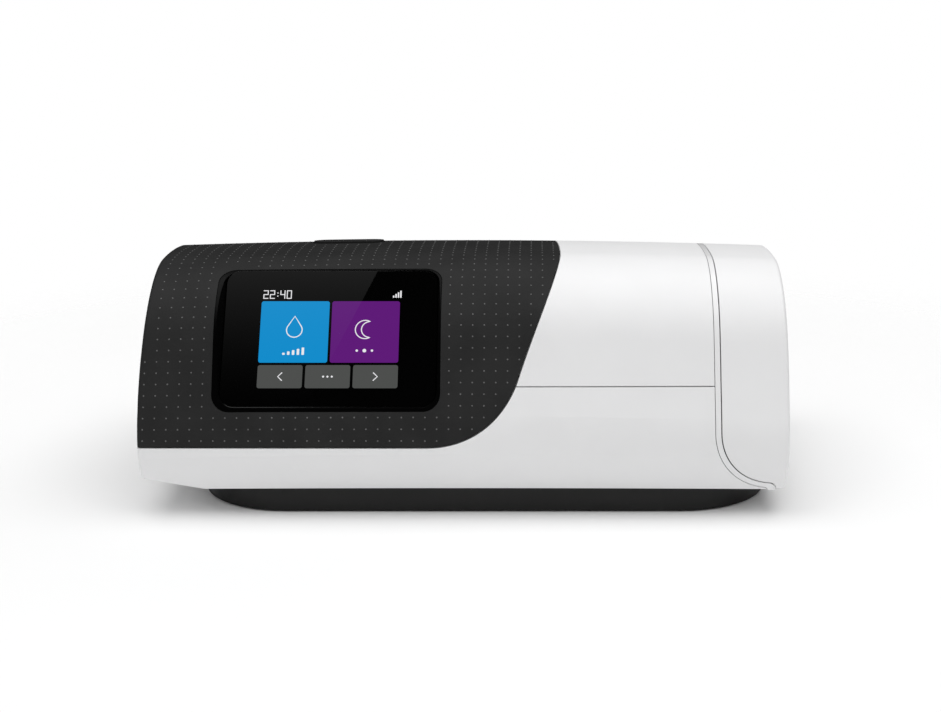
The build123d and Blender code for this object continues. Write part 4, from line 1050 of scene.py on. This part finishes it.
class MACHINE_OT_stage(bpy.types.Operator):
    """Set the floor, the soft lights and the camera"""

    bl_idname = "machine.stage"
    bl_label = "Studio"

    def execute(self, context):
        stage = scene_settings("machine_stage")
        self.floor(stage.floor_reach)
        self.sky(context.scene, stage.sky)
        self.soft_box("overhead", OVERHEAD_PLACE, OVERHEAD_SIZE, stage.overhead)
        front = self.soft_box("front", FRONT_PLACE, FRONT_SIZE, stage.front)
        front.visible_glossy = False
        self.card(stage.card)
        self.camera(context.scene)
        context.scene.view_settings.view_transform = "Standard"
        return {"FINISHED"}

    @staticmethod
    def floor(reach):
        """Paper floor that fades out with the distance from the machine."""
        form = bmesh.new()
        bmesh.ops.create_grid(form, x_segments=2, y_segments=2, size=reach)
        finish = Finish("studio_floor")
        cloud = finish.noise(0.4, 2.0)
        x, y, _ = finish.axes()
        square = x * x + y * y
        material = finish.shader(
            Base_Color=finish.blend(cloud.step(0.3, 0.7), (0.9, 0.9, 0.9), (0.92, 0.92, 0.92)),
            Roughness=0.6, IOR=1.3, Specular_IOR_Level=0.2,
            Alpha=1 - square.step(FLOOR_FADE_START * reach ** 2, reach ** 2))
        floor = add_piece("studio_floor", mesh_from(form, "studio_floor"), material)

    @staticmethod
    def sky(scene, strength):
        """White to the camera, soft light for the surfaces and almost nothing in the gloss."""
        world = bpy.data.worlds.new("studio")
        graph = Graph(world)
        rays = graph.node("ShaderNodeLightPath")
        level = strength + (1 - strength) * rays["Is Camera Ray"]
        level = level * (1 - SKY_GLOSS_CUT * rays["Is Glossy Ray"])
        glow = graph.node("ShaderNodeBackground", None, {"Color": (1.0, 1.0, 1.0), "Strength": level})
        graph.node("ShaderNodeOutputWorld", None, {"Surface": glow["Background"]})
        scene.world = world

    @staticmethod
    def soft_box(name, place, size, power):
        """Rectangular lamp aimed at the machine and hidden from the camera."""
        data = bpy.data.lights.new(name, "AREA")
        data.shape = "RECTANGLE"
        data.size, data.size_y = size
        data.energy = power
        light = bpy.data.objects.new(name, data)
        light.location = place
        light.rotation_mode = "QUATERNION"
        light.rotation_quaternion = (LIGHT_AIM - place).to_track_quat("-Z", "Y")
        light.visible_camera = False
        bpy.context.scene.collection.objects.link(light)
        return light

    @staticmethod
    def card(glow):
        """Card above and in front, dimmer to the front, whose right edge crosses the glass aslant."""
        run = (CARD_FAR - CARD_NEAR).normalized()
        left = Vector((run.y, -run.x, 0.0)) * CARD_WIDTH
        start, end = CARD_NEAR - run * CARD_SPARE, CARD_FAR + run * CARD_SPARE
        form = bmesh.new()
        form.faces.new([form.verts.new(corner) for corner in (start, end, end + left, start + left)])
        finish = Finish("studio_card")
        _, y, _ = finish.axes()
        along = ((CARD_NEAR.y - y) / (CARD_NEAR.y - CARD_FAR.y)).most(0.0).least(1.0)
        level = (1 - CARD_DIMMING * along) ** CARD_CURVE
        material = finish.shader(
            Base_Color=(0.0, 0.0, 0.0), Roughness=1.0,
            Emission_Color=finish.blend(level, (0.0, 0.0, 0.0), (1.0, 1.0, 1.0)),
            Emission_Strength=glow)
        card = add_piece("studio_card", mesh_from(form, "studio_card"), material, smooth=False)
        card.visible_camera = False

    @staticmethod
    def camera(scene):
        """Camera in front, looking slightly down."""
        data = bpy.data.cameras.new("camera")
        data.sensor_width = SENSOR
        data.lens = FOCAL_PIXELS / IMAGE_WIDTH * SENSOR
        data.shift_x = (IMAGE_WIDTH / 2 - CAMERA_CENTRE_X) / IMAGE_WIDTH
        data.clip_start, data.clip_end = CAMERA_CLIP
        camera = bpy.data.objects.new("camera", data)
        down = math.radians(CAMERA_DOWN)
        ahead = Vector((0.0, math.cos(down), -math.sin(down)))
        camera.location = CAMERA_PLACE
        camera.rotation_mode = "QUATERNION"
        camera.rotation_quaternion = ahead.to_track_quat("-Z", "Y")
        scene.collection.objects.link(camera)
        scene.camera = camera


# ---------------------------------------------------------------- add-on frame

STEPS = (
    MACHINE_OT_shells,
    MACHINE_OT_black_parts,
    MACHINE_OT_dots,
    MACHINE_OT_screen,
    MACHINE_OT_inner_parts,
    MACHINE_OT_soft_pads,
    MACHINE_OT_stage,
)


class MACHINE_PT_panel(bpy.types.Panel):
    """Settings and steps of the breathing machine"""

    bl_idname = "MACHINE_PT_panel"
    bl_label = "Breathing machine"
    bl_space_type = "VIEW_3D"
    bl_region_type = "UI"
    bl_category = "Breathing machine"

    def draw(self, context):
        layout = self.layout
        for name, group in SETTINGS:
            box = layout.box()
            box.label(text=group.__doc__)
            for key in group.__annotations__:
                box.prop(getattr(context.scene, name), key)
        for step in STEPS:
            layout.operator(step.bl_idname)


CLASSES = tuple(group for _, group in SETTINGS) + STEPS + (MACHINE_PT_panel,)


def register():
    """Adds the classes and the scene's settings."""
    for item in CLASSES:
        bpy.utils.register_class(item)
    for name, group in SETTINGS:
        setattr(bpy.types.Scene, name, PointerProperty(type=group))


def unregister():
    """Takes the settings and the classes away again."""
    for name, _ in SETTINGS:
        delattr(bpy.types.Scene, name)
    for item in reversed(CLASSES):
        bpy.utils.unregister_class(item)


def main():
    """Registers the add-on and runs its steps in order."""
    register()
    for step in STEPS:
        group, name = step.bl_idname.split(".")
        getattr(getattr(bpy.ops, group), name)()


if __name__ == "__main__":
    main()
